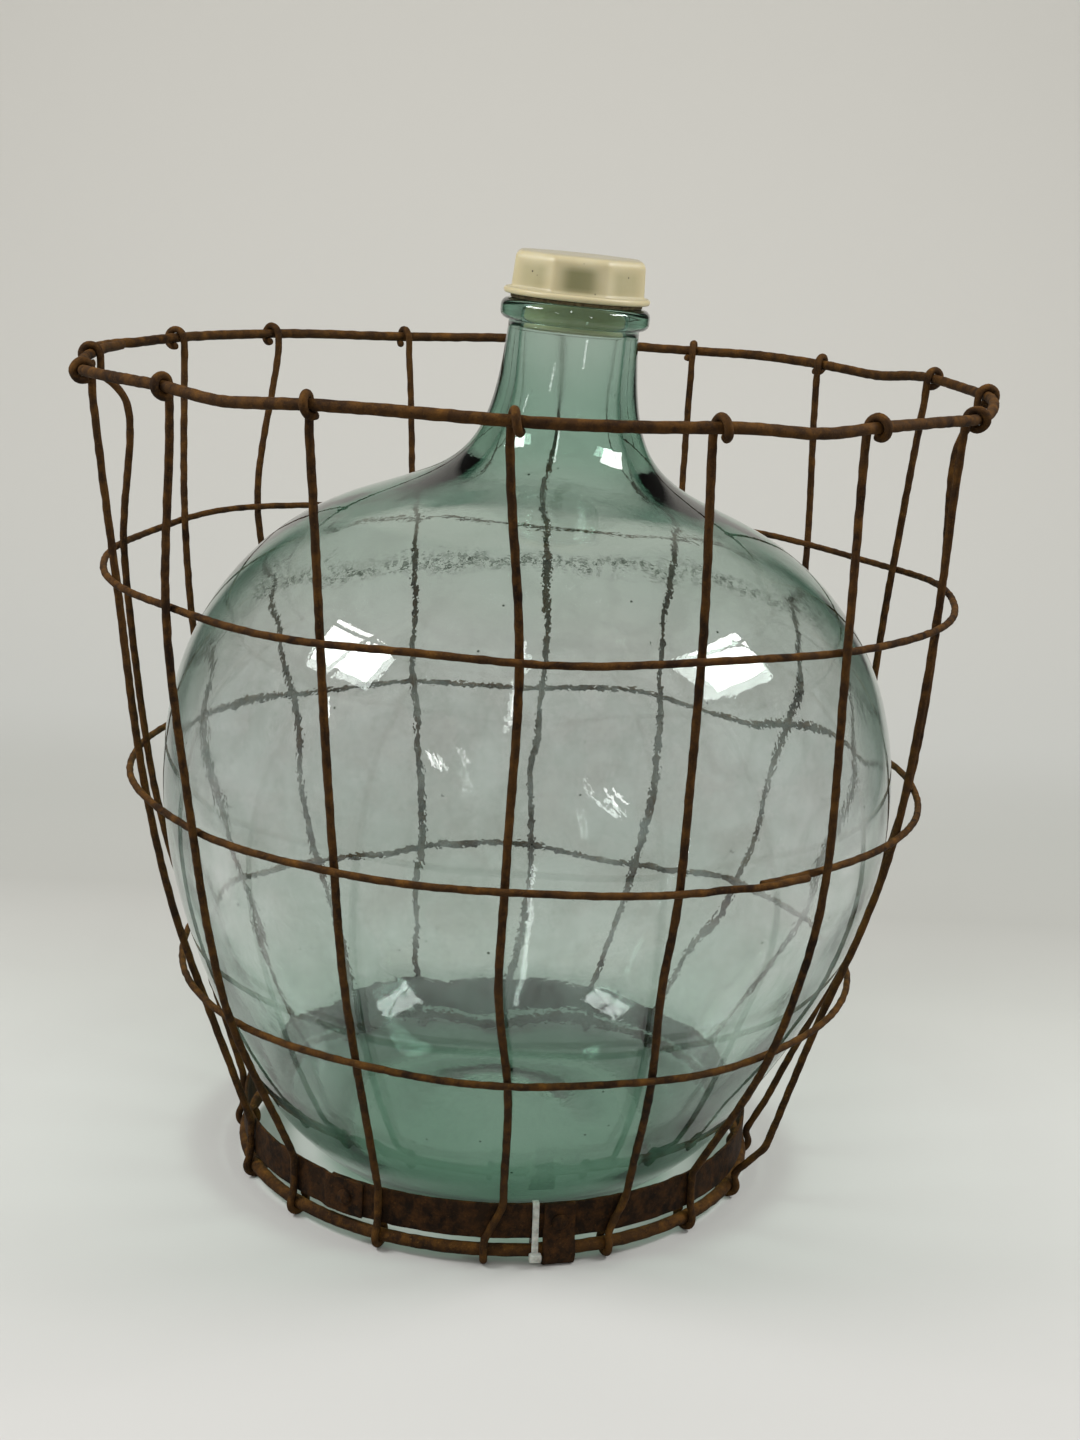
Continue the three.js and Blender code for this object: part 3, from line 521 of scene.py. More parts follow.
def seedSpecks(tree, tone, place):  # few dark specks, drawn coarse enough to show
    cells = addNode(tree, "TexVoronoi", {"Scale": perMetre(glass["seedSpacing"]), "Randomness": 1.0},
                    {"Vector": place})
    speck = addNode(tree, "ValToRGB", {"stops": glass["seedTones"]}, {"Fac": cells})
    return addNode(tree, "Mix", {"data_type": "RGBA", "blend_type": "MULTIPLY", 0: 1.0}, {6: tone, 7: speck})


def thickHeel(tree, tone, z, outer):  # thickest where the wall turns into the floor, outside the punt
    below = addNode(tree, "MapRange", span(glass["heelFall"]), {"Value": z})
    share = addNode(tree, "Math", {"operation": "MULTIPLY"}, {0: outer, 1: below})
    return addNode(tree, "Mix", {"data_type": "RGBA", 7: glass["heel"]}, {0: share, 6: tone})


def limeClear(tree, place, x, z, back, outer):
    # how clear the wall is: pale stains lie on the flanks and the back, where the last of the liquid dried
    stain = addNode(tree, "TexNoise", {"Scale": perMetre(glass["limeSize"]), "Detail": 6.0, "Roughness": 0.6},
                    {"Vector": place})
    lime = addNode(tree, "MapRange", {**span(glass["limeBreaks"], 1), "To Max": glass["lime"]},
                   {"Value": stain})
    low = addNode(tree, "ValToRGB", {"stops": bandStops(glass["limeLevels"])}, {"Fac": z})
    across = addNode(tree, "Math", {"operation": "ABSOLUTE"}, {0: x})
    flank = addNode(tree, "MapRange", span(glass["flank"]), {"Value": across})
    around = addNode(tree, "Math", {"operation": "MAXIMUM"}, {0: flank, 1: back})
    for limit in (low, around, outer):
        lime = addNode(tree, "Math", {"operation": "MULTIPLY"}, {0: lime, 1: limit})
    return addNode(tree, "Math", {"operation": "SUBTRACT", 0: 1.0}, {1: lime})


def neckDust(tree, y, z):  # the far wall of the neck blurs what stands behind
    inNeck = addNode(tree, "MapRange", {**span(glass["neckRise"]), "To Max": glass["neckDull"]}, {"Value": z})
    behind = addNode(tree, "MapRange", span(glass["neckBack"]), {"Value": y})
    return addNode(tree, "Math", {"operation": "MULTIPLY"}, {0: inNeck, 1: behind})


def blownGlass():
    # soda-lime glass, mouth-blown: clear with a pale green body colour, deeper where it is thick,
    # fine surface ripple, seeds and a thin dry film
    material, tree = newFinish("blownGreenGlass")
    place = addNode(tree, "TexCoord").outputs["Object"]
    x, y, z = addNode(tree, "SeparateXYZ", {}, {0: place}).outputs
    back = addNode(tree, "MapRange", span(glass["back"]), {"Value": y})
    inPlan = addNode(tree, "CombineXYZ", {}, {0: x, 1: y})
    away = addNode(tree, "VectorMath", {"operation": "LENGTH"}, {0: inPlan})
    outer = addNode(tree, "MapRange", span(glass["outer"]), {"Value": away})
    tone = darkEdge(tree, driedFilm(tree, place, z), z)
    tone = seedSpecks(tree, tideMark(tree, tone, place, z, back), place)
    tone = thickHeel(tree, tone, z, outer)
    wall = addNode(tree, "BsdfPrincipled", {"IOR": glass["index"]},
                   {"Base Color": tone, "Normal": glassRipple(tree, place), "Roughness": neckDust(tree, y, z),
                    "Transmission Weight": limeClear(tree, place, x, z, back, outer)})
    clear = addNode(tree, "BsdfTransparent", {"Color": glass["shadow"]})
    path = addNode(tree, "LightPath")
    plain = addNode(tree, "Math", {"operation": "MAXIMUM"},  # no bright caustic on top of the clear shadow
                    {0: path.outputs["Is Shadow Ray"], 1: path.outputs["Is Diffuse Ray"]})
    both = addNode(tree, "MixShader", {}, {0: plain, 1: wall, 2: clear})
    tint = addNode(tree, "VolumeAbsorption", {"Color": glass["body"], "Density": glass["bodyDensity"]})
    addNode(tree, "OutputMaterial", {}, {"Surface": both, "Volume": tint})
    return material


dressed(meshPiece("carboyGlass", bottleSurface()), blownGlass(), "bottle", "blown_glass", "glass_carboy")
print("bottle blown")


# stopper and seal, along the leaning neck

stopper = dict(flange=45.5, flangeHeight=4, flangeRound=1.6, flats=8, acrossFlats=82, corner=43.8,
               cornerSoft=0.45, height=23, topInset=5, topRound=5.5, draft=1.0, wall=4, ceilingRound=4,
               shank=31.4, shankWall=3.5, shankLength=18, footChamfer=0.5, footTaper=4, rootFillet=1,
               headFillet=0.5, crown=((0.75, 0.1), (0.4, 0), (0.1, -0.05)), pole=0.5,
               seal=41, sealHeight=2, sealEdge=0.5, sealSpokes=96, gap=0.3, spokes=192)
# painted shade of the hollow on the front flat, and the top dust: angles in degrees, its share on the other
# flats, heights from shelf and top
thinPatch = dict(turn=4.01, half=7, fade=15, spread=28, others=0.35,
                 under=1, rise=5, below=4, fall=6, dustUnder=1.6, dustRise=1.5)
# the olive tone is painted shade of the hollow, laid on the flats
plastic = dict(cloud=22, grit=15, scuff=3, scuffDepth=0.06, deep=4,
               tones=((0.3, "#beb28c"), (0.7, "#c6bc9a")), dust="#a39c86", thin="#807d57",
               speckTones=((0.045, "#4a3a22"), (0.07, "#ffffff")))
rubber = dict(dust=2.5, relief=0.1, tones=((0.35, "#4a3d28"), (0.7, "#7a6a4a")))


def neckFrame(places):  # from the stopper's own frame, z along the neck from the lip, to the object's
    shift, tilt = leanAt(np.array(float(lipTop)))
    turn = np.array([[np.cos(tilt), 0, np.sin(tilt)], [0, 1, 0], [-np.sin(tilt), 0, np.cos(tilt)]])
    return places @ turn.T + np.array([shift, 0, lipTop])


def stopperOutline():
    # radius and height from the hollow's ceiling, down its wall, round the shank and flange, up the head
    s = stopper
    low = 2 * s["gap"] + s["sealHeight"]
    shelf, top = low + s["flangeHeight"], low + s["flangeHeight"] + s["height"]
    shank, hollow, bottom = s["shank"], s["shank"] - s["shankWall"], low - s["shankLength"]
    ceiling, soft = top - s["wall"], s["ceilingRound"]
    chamfer, taper = s["footChamfer"], s["footTaper"]
    inside = [[2 * s["pole"], ceiling], [hollow - soft, ceiling],
              [hollow - soft / 4, ceiling - soft * 0.3], [hollow, ceiling - soft],
              [hollow, bottom + chamfer], [hollow + chamfer, bottom]]
    plug = [[shank - taper * 0.3, bottom], [shank - taper * 0.075, bottom + taper / 4],
            [shank, bottom + taper], [shank, low - s["rootFillet"] / 5], [shank + s["rootFillet"], low]]
    rim, half = np.linspace(-np.pi / 2, np.pi / 2, 9)[:, None], s["flangeHeight"] / 2
    flangeEdge = np.concatenate([s["flange"] - s["flangeRound"] + s["flangeRound"] * np.cos(rim),
                                 low + half + half * np.sin(rim)], 1)
    fillet = s["headFillet"]
    below = np.concatenate([inside, plug, flangeEdge, [[s["corner"] + fillet, shelf]]])
    up = np.linspace(0, 1, 9)[1:, None]
    side = np.concatenate([s["corner"] - s["draft"] * up, shelf + (top - s["topRound"] - shelf) * up], 1)
    crown = s["corner"] - s["draft"] - s["topInset"]
    a = np.linspace(0, np.pi / 2, 10)[1:, None]
    topEdge = np.concatenate([crown + s["topInset"] * np.cos(a),
                              top - s["topRound"] + s["topRound"] * np.sin(a)], 1)
    dish = [[crown * share, top + rise] for share, rise in s["crown"]]
    head = np.concatenate([[[s["corner"] + fillet / 5, shelf + fillet / 2]], side, topEdge, dish,
                           [[s["pole"], dish[-1][1]]]])
    return below, head, shelf, top


def stopperSurface():
    # outline turned about z; on the head the radius is the soft minimum of corner radius and flat's distance
    s, p = stopper, thinPatch
    below, head, shelf, top = stopperOutline()
    outline = np.concatenate([below, head])
    onHead = (np.arange(len(outline)) >= len(below))[:, None]
    angle = np.linspace(0, 2 * np.pi, s["spokes"], endpoint=False)
    wedge = 2 * np.pi / s["flats"]
    offFlat = np.abs((angle - np.pi / 2 + wedge / 2) % wedge - wedge / 2)
    radius = np.broadcast_to(outline[:, :1], (len(outline), len(angle)))
    height = outline[:, 1:]
    flatRadius = (s["acrossFlats"] / 2 - (s["corner"] - radius)) / np.cos(offFlat)[None]
    soft = s["cornerSoft"]
    pressed = -soft * np.logaddexp(-radius / soft, -flatRadius / soft)
    radius = np.where(onHead & (radius > s["shank"]), pressed, radius)
    places = np.stack([radius * np.cos(angle), radius * np.sin(angle),
                       np.broadcast_to(height, radius.shape)], -1)
    # painted shade of the hollow seen through the thin wall: most on the front flat, fading to its corners,
    # the top and the flange
    fromFront = np.degrees(np.angle(np.exp(1j * (angle + np.pi / 2 + np.radians(p["turn"])))))
    across = 1 - ease((np.degrees(offFlat) - p["half"]) / p["fade"])
    across = across * (p["others"] + (1 - p["others"]) * np.exp(-(fromFront / p["spread"]) ** 2))
    along = ease((height - shelf + p["under"]) / p["rise"]) * ease((top - p["below"] - height) / p["fall"])
    thin = across[None] * along * onHead
    dusty = np.broadcast_to(ease((height - top + p["dustUnder"]) / p["dustRise"]), thin.shape)
    return neckFrame(places), np.concatenate([thin.ravel(), [0, 0]]), np.concatenate([dusty.ravel(), [0, 1]])


def creamPlastic():
    # moulded polythene: waxy and a little clear; the shade of the hollow through the flats is painted darker,
    # most on the front flat
    material, tree = newFinish("mouldedCreamPolythene")
    place = addNode(tree, "TexCoord").outputs["Object"]
    thin = addNode(tree, "Attribute", {"attribute_name": "thinWall"}).outputs["Fac"]
    dust = addNode(tree, "Attribute", {"attribute_name": "topDust"}).outputs["Fac"]
    cloud = addNode(tree, "TexNoise", {"Scale": perMetre(plastic["cloud"]), "Detail": 4.0}, {"Vector": place})
    base = addNode(tree, "ValToRGB", {"stops": plastic["tones"]}, {"Fac": cloud})
    toneByTop = addNode(tree, "Mix", {"data_type": "RGBA", 7: plastic["dust"]}, {0: dust, 6: base})
    over = addNode(tree, "Mix", {"data_type": "RGBA", 7: plastic["thin"]}, {0: thin, 6: toneByTop})
    grit = addNode(tree, "TexVoronoi", {"Scale": perMetre(plastic["grit"])}, {"Vector": place})
    speck = addNode(tree, "ValToRGB", {"stops": plastic["speckTones"]}, {"Fac": grit})
    tone = addNode(tree, "Mix", {"data_type": "RGBA", "blend_type": "MULTIPLY", 0: 1.0}, {6: over, 7: speck})
    scuff = addNode(tree, "TexNoise", {"Scale": perMetre(plastic["scuff"]), "Detail": 5.0}, {"Vector": place})
    gloss = addNode(tree, "MapRange", {"To Min": 0.3, "To Max": 0.52}, {"Value": scuff})
    bump = addNode(tree, "Bump", {"Distance": plastic["scuffDepth"] * mm}, {"Height": scuff})
    skin = addNode(tree, "BsdfPrincipled", {
        "IOR": 1.5, "Subsurface Weight": 0.3, "Subsurface Scale": plastic["deep"] * mm,
        "Subsurface Radius": (1.0, 0.8, 0.45)}, {"Base Color": tone, "Roughness": gloss, "Normal": bump})
    addNode(tree, "OutputMaterial", {}, {"Surface": skin})
    return material


def makeStopper():  # painted hollow shade and top dust stay with the mesh as attributes, for the plastic
    places, thin, dusty = stopperSurface()
    piece = meshPiece("stopperBody", places)
    for name, values in (("thinWall", thin), ("topDust", dusty)):
        piece.data.attributes.new(name, "FLOAT", "POINT").data.foreach_set("value", values.astype(np.float32))
    dressed(piece, creamPlastic(), "stopper", "cream_plastic", "stopper")


def sealSurface():
    # rounded flat ring: a flat-bar outline carried once round the neck
    s = stopper
    inner, height = s["shank"] + s["gap"], s["sealHeight"]
    a = np.linspace(0, 2 * np.pi, s["sealSpokes"], endpoint=False)
    middle = (inner + s["seal"]) / 2
    path = np.stack([middle * np.cos(a), middle * np.sin(a), np.full_like(a, s["gap"] + height / 2)], -1)
    rings, _ = swept(path, flatBar(s["seal"] - inner, height, s["sealEdge"]), straightUp, closed=True)
    return neckFrame(rings)


def sealRubber():
    # old brown rubber, matt and dusty
    material, tree = newFinish("oldBrownRubber")
    place = addNode(tree, "TexCoord").outputs["Object"]
    dust = addNode(tree, "TexNoise", {"Scale": perMetre(rubber["dust"]), "Detail": 5.0}, {"Vector": place})
    tone = addNode(tree, "ValToRGB", {"stops": rubber["tones"]}, {"Fac": dust})
    bump = addNode(tree, "Bump", {"Distance": rubber["relief"] * mm}, {"Height": dust})
    skin = addNode(tree, "BsdfPrincipled", {"Roughness": 0.85}, {"Base Color": tone, "Normal": bump})
    addNode(tree, "OutputMaterial", {}, {"Surface": skin})
    return material


makeStopper()
seal = meshPiece("stopperSeal", sealSurface(), closedPath=True)
dressed(seal, sealRubber(), "seal", "seal_rubber", "stopper_seal")
print("stopper and seal made")


# rust: scale patches, orange bloom and dark pits on iron, sizes in mm

wireRust = dict(name="rustedDrawnWire", patch=60, bloom=9, grain=1.0, relief=0.22,
                dark="#25160a", mid="#402910", warm="#6c4717", pale="#936f37", pit="#0f0803")
stripRust = dict(name="rustedRolledStrip", patch=34, bloom=7, grain=1.4, relief=0.3,
                 dark="#180e06", mid="#2c1b0a", warm="#543413", pale="#705026", pit="#0c0704")


def rustedIron(look):
    # weathered iron: dry and matt, dark scale under patches of orange rust, pale dust in the grain
    material, tree = newFinish(look["name"])
    place = addNode(tree, "TexCoord").outputs["Object"]
    patch, bloom, grain = (
        addNode(tree, "TexNoise", {"Scale": perMetre(look[size]), "Detail": detail, "Roughness": rough},
                {"Vector": place})
        for size, detail, rough in (("patch", 5.0, 0.6), ("bloom", 6.0, 0.65), ("grain", 3.0, 0.7)))
    tone = addNode(tree, "ValToRGB", {"stops": [(0.36, look["dark"]), (0.58, look["mid"])]}, {"Fac": patch})
    # each layer: its colour, the noise that places it, where it starts, where it is full, and its most
    layers = (("warm", bloom, 0.42, 0.76, 1.0), ("pale", grain, 0.6, 0.78, 0.6),
              ("pit", grain, 0.42, 0.28, 0.75))
    for colour, noise, start, full, most in layers:
        where = addNode(tree, "MapRange", {"From Min": start, "From Max": full, "To Max": most},
                        {"Value": noise})
        tone = addNode(tree, "Mix", {"data_type": "RGBA", 7: look[colour]}, {0: where, 6: tone})
    # painted shade: the rust is lightened on top and darkened underneath by how far it faces up, as light
    # from above would do, with some dust on top
    upward = addNode(tree, "Attribute", {"attribute_name": "upward"}).outputs["Fac"]
    light = addNode(tree, "MapRange", {"From Min": -0.2, "From Max": 0.9, "To Min": 0.6, "To Max": 1.1},
                    {"Value": upward})  # painted light and shade with some dust: tops lighter, undersides darker
    toneByTop = addNode(tree, "VectorMath", {"operation": "SCALE"}, {"Vector": tone, "Scale": light})
    gloss = addNode(tree, "MapRange", {"To Min": 0.95, "To Max": 0.66}, {"Value": patch})
    height = addNode(tree, "Math", {"operation": "ADD"}, {0: bloom, 1: grain})
    bump = addNode(tree, "Bump", {"Distance": look["relief"] * mm}, {"Height": height})
    skin = addNode(tree, "BsdfPrincipled", {"Specular IOR Level": 0.15},
                   {"Base Color": toneByTop, "Roughness": gloss, "Normal": bump})
    addNode(tree, "OutputMaterial", {}, {"Surface": skin})
    return material


def withUpward(piece):  # how far each point faces up, for the rust's painted shade and its dust on top
    normals = np.empty(len(piece.data.vertices) * 3, np.float32)
    piece.data.vertices.foreach_get("normal", normals)
    piece.data.attributes.new("upward", "FLOAT", "POINT").data.foreach_set("value", normals[2::3])
    return piece


wireFinish, stripFinish = rustedIron(wireRust), rustedIron(stripRust)


# basket wire: angles counted from the front towards the right, bends by the number of the upright

cage = dict(front=-2.4, pitch=22.5, count=16, outsideEvery=4, firstOutside=2, footTwist=1.5, gap=0.3,
            upright=4.8, hoop=4.4, sideStep=5.4, curlFrom=130, curlTo=370, hookTo=-120, arcStep=5,
            hookLead=2.0, lap=30, joggle=26, step=1.7, perStation=24, sides=12,
            sway=0.55, swaySize=150, swayRise=120, wear=0.09, wearSize=9)
# degrees that an upright passes a hoop, the band or its foot aside from the even spacing
rimDrift = {2: -1, 3: -3, 4: -1.5, 6: -2, 12: -3.5, 15: 1.5}
upperDrift = {1: 1, 3: -3.3, 11: 4}
middleDrift = {3: -1.4}
lowerDrift = {1: 1.7, 2: 2}
bandDrift = {1: 3.5, 2: 3.8}
footDrift = {2: 3.5, 3: 3, 14: 2.5}
legBow = {4: 20, 5: 12}  # mm outwards at the top of the band
rimKink = {5: 10, 13: 16}  # mm inwards, kinkDrop below the rim hoop
kinkDrop = 32
# dents: the bay, the depth, the spread in bays
rimDents = ((1.5, 3.5, 0.3), (3, 5, 0.6), (5.5, 3, 0.3), (12.5, 5.5, 0.8), (14.5, 3, 0.3))
upperDents = ((5.4, 5, 1.2), (10.2, -3.4, 0.8))
hoops = dict(
    rim=dict(radius=280, height=523, shift=rimShift, wire=6.5, lapBay=11, dents=rimDents),
    upper=dict(radius=268, height=398, shift=6.4, wire=4.4, lapBay=7, dents=upperDents, drift=upperDrift),
    middle=dict(radius=254, height=266.5, shift=10, wire=4.4, lapBay=1, drift=middleDrift),
    lower=dict(radius=220.6, height=140.5, shift=8.5, wire=4.4, lapBay=8, drift=lowerDrift),
    base=dict(radius=168.3, height=9.1, shift=0, wire=8, lapBay=9))
flank = dict(radius=240.6, height=203.5, shift=9.25)  # a level without a hoop that the uprights pass
band = dict(outer=169.3, thickness=2, bottom=17.1, height=23, edge=0.5, lap=24, joggle=10, lapAngle=-31.4,
            step=2)
bandTop, bandMiddle = band["bottom"] + band["height"], band["bottom"] + band["height"] / 2


def hoopPlace(hoop, angle):
    # circle at the hoop's height, pressed down by bell-shaped dents
    angle = np.asarray(angle, float)
    fall = np.zeros_like(angle)
    for bay, depth, spread in hoop.get("dents", ()):
        away = (angle - cage["front"] - cage["pitch"] * bay + 180) % 360 - 180
        fall = fall + depth * np.exp(-(away / (spread * cage["pitch"])) ** 2)
    return outward(angle) * hoop["radius"] + upBy(hoop["height"] - fall) + np.array([hoop["shift"], 0, 0])


def swayed(places):
    # a slow drift, the same for every wire that passes a place, growing from the band upwards
    grow = cage["sway"] * ease((places[..., 2] - bandTop) / cage["swayRise"])
    drift = np.stack([lumps(places, cage["swaySize"], seed) for seed in seeds["sway"]], -1)
    return places + grow[..., None] * drift


def hoopPath(hoop):
    # once round, then out over its own start by one wire and along it
    start = cage["front"] + cage["pitch"] * (hoop["lapBay"] + 0.5)
    degrees = np.degrees(1 / hoop["radius"])
    turn = np.arange(0, 360 + cage["lap"] * degrees, cage["step"] * degrees)
    joggle = cage["joggle"] * degrees
    out = (hoop["wire"] + cage["gap"]) * ease((turn - 360 + joggle) / joggle)
    return hoopPlace(hoop, start + turn) + outward(start + turn) * out[:, None]


def wirePiece(name, path, wire, side, node):
    # round bar along the path, worn by shallow lumps
    rings, normal = swept(swayed(path), roundBar(wire / 2, cage["sides"]), side)
    worn = cage["wear"] * lumps(rings, cage["wearSize"], seeds["wear"])
    rings = rings + normal * worn[..., None]
    dressed(withUpward(meshPiece(name, rings)), wireFinish, "cage", "rusty_wire", node)


def crossingOffset(slope):  # from a hoop's middle to the middle of an upright that passes it on a slope
    beside = cage["upright"] / 2 + cage["gap"] + cage["hoop"] / 4 * abs(slope)
    return cage["hoop"] / 2 + beside * np.hypot(1, slope)


def climb(index, legRadius, hookRadius, bandAngle, rimAngle):
    # places that an upright passes: top of the band, each hoop on its inside or outside, under the rim hoop
    number, rim = index + 1, hoops["rim"]
    angle = cage["front"] + cage["pitch"] * index
    way = 1 if index % cage["outsideEvery"] == cage["firstOutside"] else -1
    levels = [dict(radius=legRadius, height=bandTop), hoops["lower"], flank, hoops["middle"],
              hoops["upper"], rim]
    stations = [outward(bandAngle) * (legRadius + legBow.get(number, 0)) + upBy(bandTop)]
    for below, level, above in zip(levels, levels[1:], levels[2:]):
        slope = (above["radius"] - below["radius"]) / (above["height"] - below["height"])
        crossing = angle + level.get("drift", {}).get(number, 0)
        stations.append(hoopPlace(level, crossing) + outward(crossing) * crossingOffset(slope) * way)
    if number in rimKink:
        inside = outward(rimAngle) * (rim["radius"] - hookRadius - rimKink[number])
        stations.append(inside + upBy(rim["height"] - kinkDrop) + np.array([rim["shift"], 0, 0]))
    lead = cage["hookLead"] * hookRadius
    stations.append(hoopPlace(rim, rimAngle) - outward(rimAngle) * hookRadius - upBy(lead))
    return throughStations(np.array(stations), cage["perStation"])


def uprightPath(index):
    # arc round the base hoop, straight leg on the band, spline past the hoops, arc over the rim hoop
    c, number, base, rim = cage, index + 1, hoops["base"], hoops["rim"]
    angle = c["front"] + c["pitch"] * index
    footAngle = angle + c["footTwist"] + footDrift.get(number, 0)
    bandAngle, rimAngle = footAngle + bandDrift.get(number, 0), angle + rimDrift.get(number, 0)
    beside = c["gap"] + c["upright"] / 2
    curlRadius, hookRadius = base["wire"] / 2 + beside, rim["wire"] / 2 + beside
    legRadius = band["outer"] + beside
    turn = np.radians(np.arange(c["curlFrom"], c["curlTo"] + 1, c["arcStep"]))[:, None]
    arc = np.cos(turn) * outward(footAngle) + np.sin(turn) * straightUp
    curl = hoopPlace(base, footAngle) + curlRadius * arc
    leg = outward(footAngle) * legRadius + upBy(band["bottom"])
    turn = np.arange(180.0, c["hookTo"] - 1, -c["arcStep"])
    step = c["sideStep"] * (turn[0] - turn) / (turn[0] - turn[-1])
    knot = hoopPlace(rim, rimAngle + np.degrees(step / rim["radius"]))
    turn = np.radians(turn)[:, None]
    arc = np.cos(turn) * outward(rimAngle) + np.sin(turn) * straightUp
    hook = knot + hookRadius * arc
    path = np.concatenate([curl, leg[None], climb(index, legRadius, hookRadius, bandAngle, rimAngle), hook])
    return softened(resampled(path, c["step"])), sideways(angle)


for hoopName, hoop in hoops.items():
    wirePiece(hoopName + "Hoop", hoopPath(hoop), hoop["wire"], straightUp, hoopName + "_hoop")
for index in range(cage["count"]):
    path, side = uprightPath(index)
    wirePiece("upright%02d" % (index + 1), path, cage["upright"], side, "upright_%02d" % (index + 1))
print("hoops and uprights bent")


# flat iron of the base

hammer = dict(dent=0.12, dentSize=16, pock=0.05, pockSize=5)
plate = dict(thickness=2, width=20, edge=0.5, bend=3, foot=24, angle=14.4, step=1.5)
rivet = dict(tail=4.2, tailHeight=1.6, tailFlat=0.7, tailEdge=0.6, shank=2.2, head=5, headHeight=2.6,
             headEdge=0.2, domeTo=86, pole=0.4, gap=0.3, beaten=0.16, beatenSize=4, spokes=32)


def flatPiece(name, path, stock, width, side, node):
    # flat bar along the path, its faces hammered by shallow lumps
    rings, normal = swept(path, flatBar(stock["thickness"], width, stock["edge"]), side)
    hammered = hammer["dent"] * lumps(rings, hammer["dentSize"], seeds["dent"])
    hammered = hammered + hammer["pock"] * lumps(rings, hammer["pockSize"], seeds["pock"])
    piece = withUpward(meshPiece(name, rings + normal * hammered[..., None]))
    dressed(piece, stripFinish, "cage", "rusty_strip", node)


def bandPath():
    # once round, a step out by one thickness, then the lap over its own start
    middle = band["outer"] - band["thickness"] / 2
    degrees = np.degrees(1 / middle)
    lap, joggle = band["lap"] * degrees, band["joggle"] * degrees
    turn = np.append(np.arange(0, 360 + lap, band["step"] * degrees), 360 + lap)
    out = (band["thickness"] + cage["gap"]) * ease((turn - 360 + joggle) / joggle)
    way = outward(band["lapAngle"] - lap / 2 + turn)
    return way * (middle + out)[:, None] + upBy(np.full_like(turn, bandMiddle))


def platePath():
    # flat foot under the base hoop, up round its outside and against the band
    base, middle = hoops["base"], plate["thickness"] / 2
    side = base["radius"] + base["wire"] / 2 + cage["gap"] + middle
    end = band["outer"] + cage["gap"] + middle
    bend = roundEdge((side - plate["bend"], middle + plate["bend"]), plate["bend"], -90, 0, 8)
    line = np.concatenate([[[side - plate["bend"] - plate["foot"], middle]], bend,
                           [[side, base["height"]], [end, band["bottom"]], [end, bandTop]]])
    path = line[:, :1] * outward(plate["angle"]) + upBy(line[:, 1])
    return softened(resampled(path, plate["step"]), 2)


def rivetSurface(angle):
    # tail, shank and low dome turned about the outward direction, the dome a little beaten
    r = rivet
    grip = band["thickness"] + r["gap"] + plate["thickness"] + r["gap"]
    dome = np.radians(np.linspace(0, r["domeTo"], 9))
    tailEnd = -r["gap"] - r["tailHeight"]
    tail = [[r["pole"], tailEnd], [r["tail"] * r["tailFlat"], tailEnd],
            [r["tail"], -r["gap"] - r["tailEdge"]], [r["tail"], -r["gap"]]]
    shank = [[r["shank"], -r["gap"]], [r["shank"], grip], [r["head"] - r["headEdge"], grip]]
    head = np.stack([r["head"] * np.cos(dome),
                     grip + r["headEdge"] + (r["headHeight"] - r["headEdge"]) * np.sin(dome)], -1)
    outline = np.concatenate([tail, shank, head])
    a = np.linspace(0, 2 * np.pi, r["spokes"], endpoint=False)
    spokes = np.cos(a)[:, None] * sideways(angle) + np.sin(a)[:, None] * straightUp
    foot = outward(angle) * (band["outer"] - band["thickness"]) + upBy(bandMiddle)
    rings = foot + outline[:, None, :1] * spokes[None] + outline[:, None, 1:] * outward(angle)
    beaten = r["beaten"] * lumps(rings, r["beatenSize"], seeds["beaten"])
    return rings + outward(angle) * ((outline[:, 1] > grip)[:, None] * beaten)[..., None]


flatPiece("baseBand", bandPath(), band, band["height"], straightUp, "base_band")
flatPiece("linkPlate", platePath(), plate, plate["width"], sideways(plate["angle"]), "link_plate")
rivets = (("lapRivet", band["lapAngle"], "lap_rivet"), ("plateRivet", plate["angle"], "plate_rivet"))
for name, angle, node in rivets:
    dressed(withUpward(meshPiece(name, rivetSurface(angle))), stripFinish, "cage", "rusty_strip", node)
print("band, plate and rivets set")


# cable tie beside the link plate

tie = dict(width=4.0, thickness=1.2, edge=0.35, gap=1, corner=0.4, cornerDrop=0.5, step=1.0,
           head=(4.5, 7.5, 5), headSoft=0.28, headDrop=1.8, headRings=24, headSpokes=48)
nylon = dict(dust=4, teeth=2.76, toothDepth=0.2, deep=1, tones=((0.35, "#97988f"), (0.65, "#c2c4bc")))
tieHalf = np.array(tie["head"]) / 2
tieAngle = plate["angle"] - np.degrees((plate["width"] / 2 + tie["gap"] + tieHalf[1]) / band["outer"])
tieAway = cage["gap"] + tie["thickness"] / 2  # from what it holds to the middle of the strip


def tieLoopSurface():
    # loop in the plane of its angle, as (distance out, height): round the base hoop and over the band
    ring = hoops["base"]
    lower = roundEdge((ring["radius"], ring["height"]), ring["wire"] / 2 + tieAway, 180, 360, 13)
    outer, inner = band["outer"] + tieAway, band["outer"] - band["thickness"] - tieAway
    shoulder, over = bandTop - tie["cornerDrop"], bandTop + tieAway
    upper = [[outer, shoulder], [outer - tie["corner"], over],
             [inner + tie["corner"], over], [inner, shoulder]]
    line = np.concatenate([lower, upper, lower[:1]])
    path = resampled(line[:, :1] * outward(tieAngle) + upBy(line[:, 1]), tie["step"])[:-1]
    strip = flatBar(tie["thickness"], tie["width"], tie["edge"], perFace=5)
    return swept(path, strip, sideways(tieAngle), closed=True)[0]


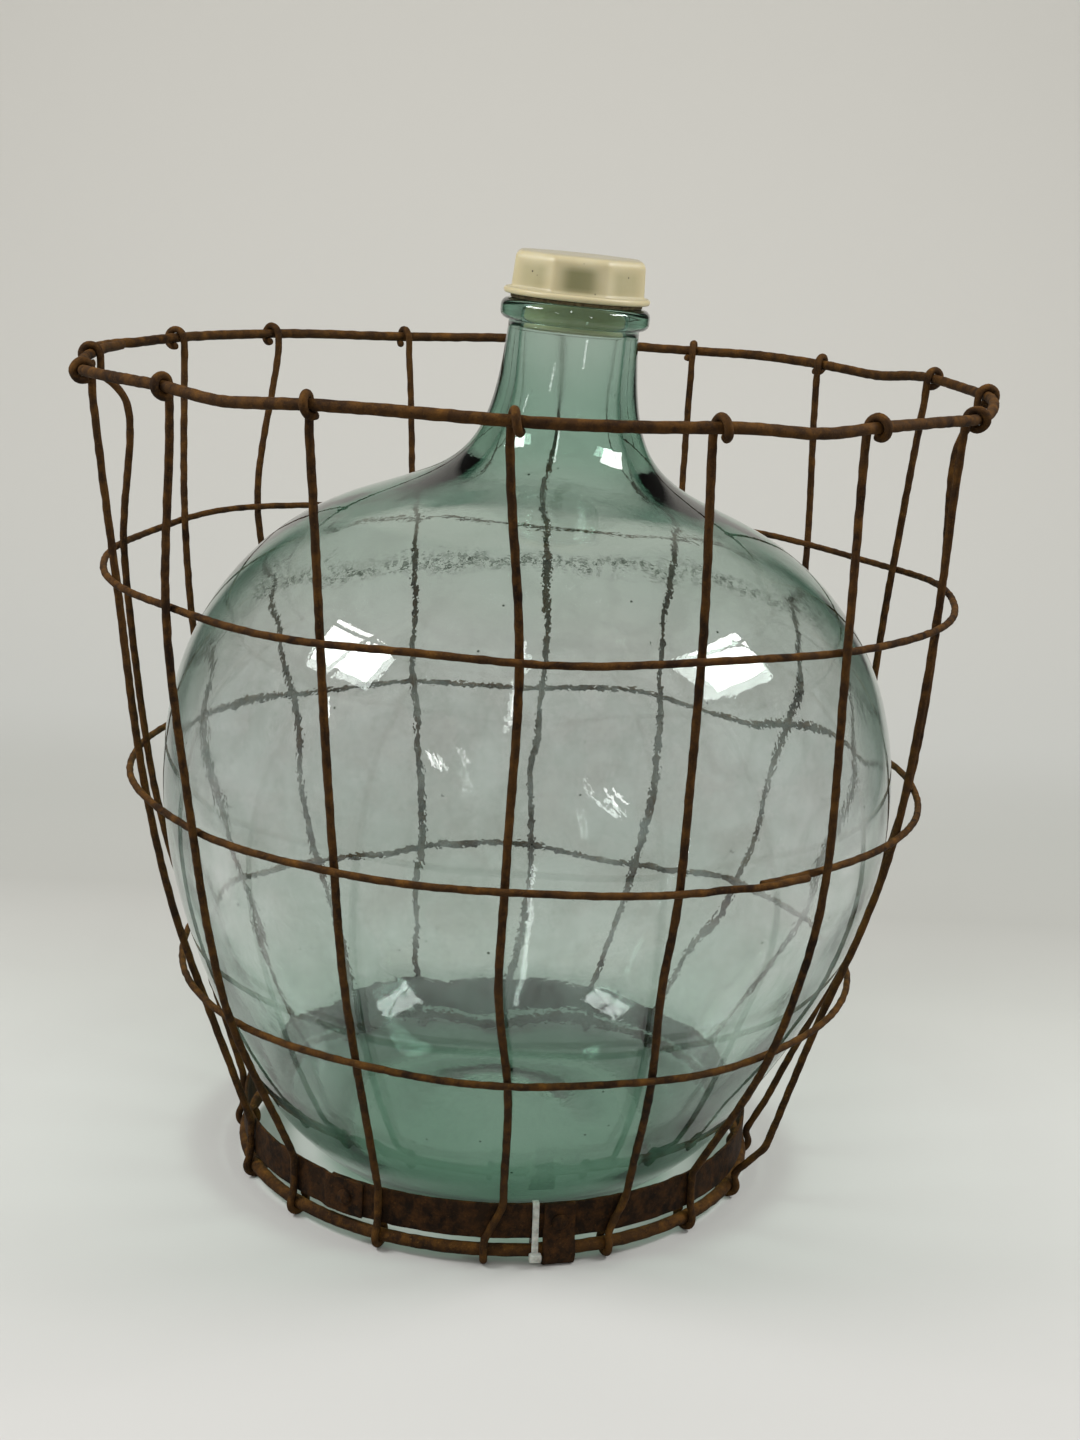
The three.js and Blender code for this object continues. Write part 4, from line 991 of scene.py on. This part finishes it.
def blocky(wave):  # squares a sine wave off
    return np.sign(wave) * np.abs(wave) ** tie["headSoft"]


def tieHeadSurface():
    # superellipsoid, nearly a block with soft edges, on the outside of the base hoop
    u = np.linspace(-np.pi / 2, np.pi / 2, tie["headRings"] + 2)[1:-1, None]  # without the poles
    v = np.linspace(-np.pi, np.pi, tie["headSpokes"], endpoint=False)[None]
    level, rise = blocky(np.cos(u)), blocky(np.sin(u))
    block = np.broadcast_arrays(level * blocky(np.cos(v)), level * blocky(np.sin(v)), rise)
    block = np.stack(block, -1) * tieHalf
    ring = hoops["base"]
    middle = ring["radius"] + ring["wire"] / 2 + tieAway + tieHalf[0]
    height = upBy(block[..., 2] + ring["height"] - tie["headDrop"])
    return outward(tieAngle) * (middle + block[..., :1]) + sideways(tieAngle) * block[..., 1:2] + height


def tieNylon():
    # natural nylon, yellowed and dusty, slightly clear
    material, tree = newFinish("dustyNaturalNylon")
    place = addNode(tree, "TexCoord").outputs["Object"]
    dust = addNode(tree, "TexNoise", {"Scale": perMetre(nylon["dust"]), "Detail": 5.0}, {"Vector": place})
    tone = addNode(tree, "ValToRGB", {"stops": nylon["tones"]}, {"Fac": dust})
    wave = perMetre(nylon["teeth"]) * 2 * np.pi / 20  # this node makes 20 radians of wave per unit
    teeth = addNode(tree, "TexWave", {"Scale": wave, "bands_direction": "Z"}, {"Vector": place})
    bump = addNode(tree, "Bump", {"Distance": nylon["toothDepth"] * mm}, {"Height": teeth.outputs["Fac"]})
    skin = addNode(tree, "BsdfPrincipled", {
        "IOR": 1.53, "Roughness": 0.45, "Subsurface Weight": 0.2, "Subsurface Scale": nylon["deep"] * mm},
        {"Base Color": tone, "Normal": bump})
    addNode(tree, "OutputMaterial", {}, {"Surface": skin})
    return material


tieFinish = tieNylon()
tieLoop = meshPiece("tieLoop", tieLoopSurface(), closedPath=True)
tieHead = meshPiece("tieHead", tieHeadSurface())
for piece in (tieLoop, tieHead):
    dressed(piece, tieFinish, "cage", "tie_nylon", "cable_tie")
print("cable tie drawn tight")

bpy.context.view_layer.update()
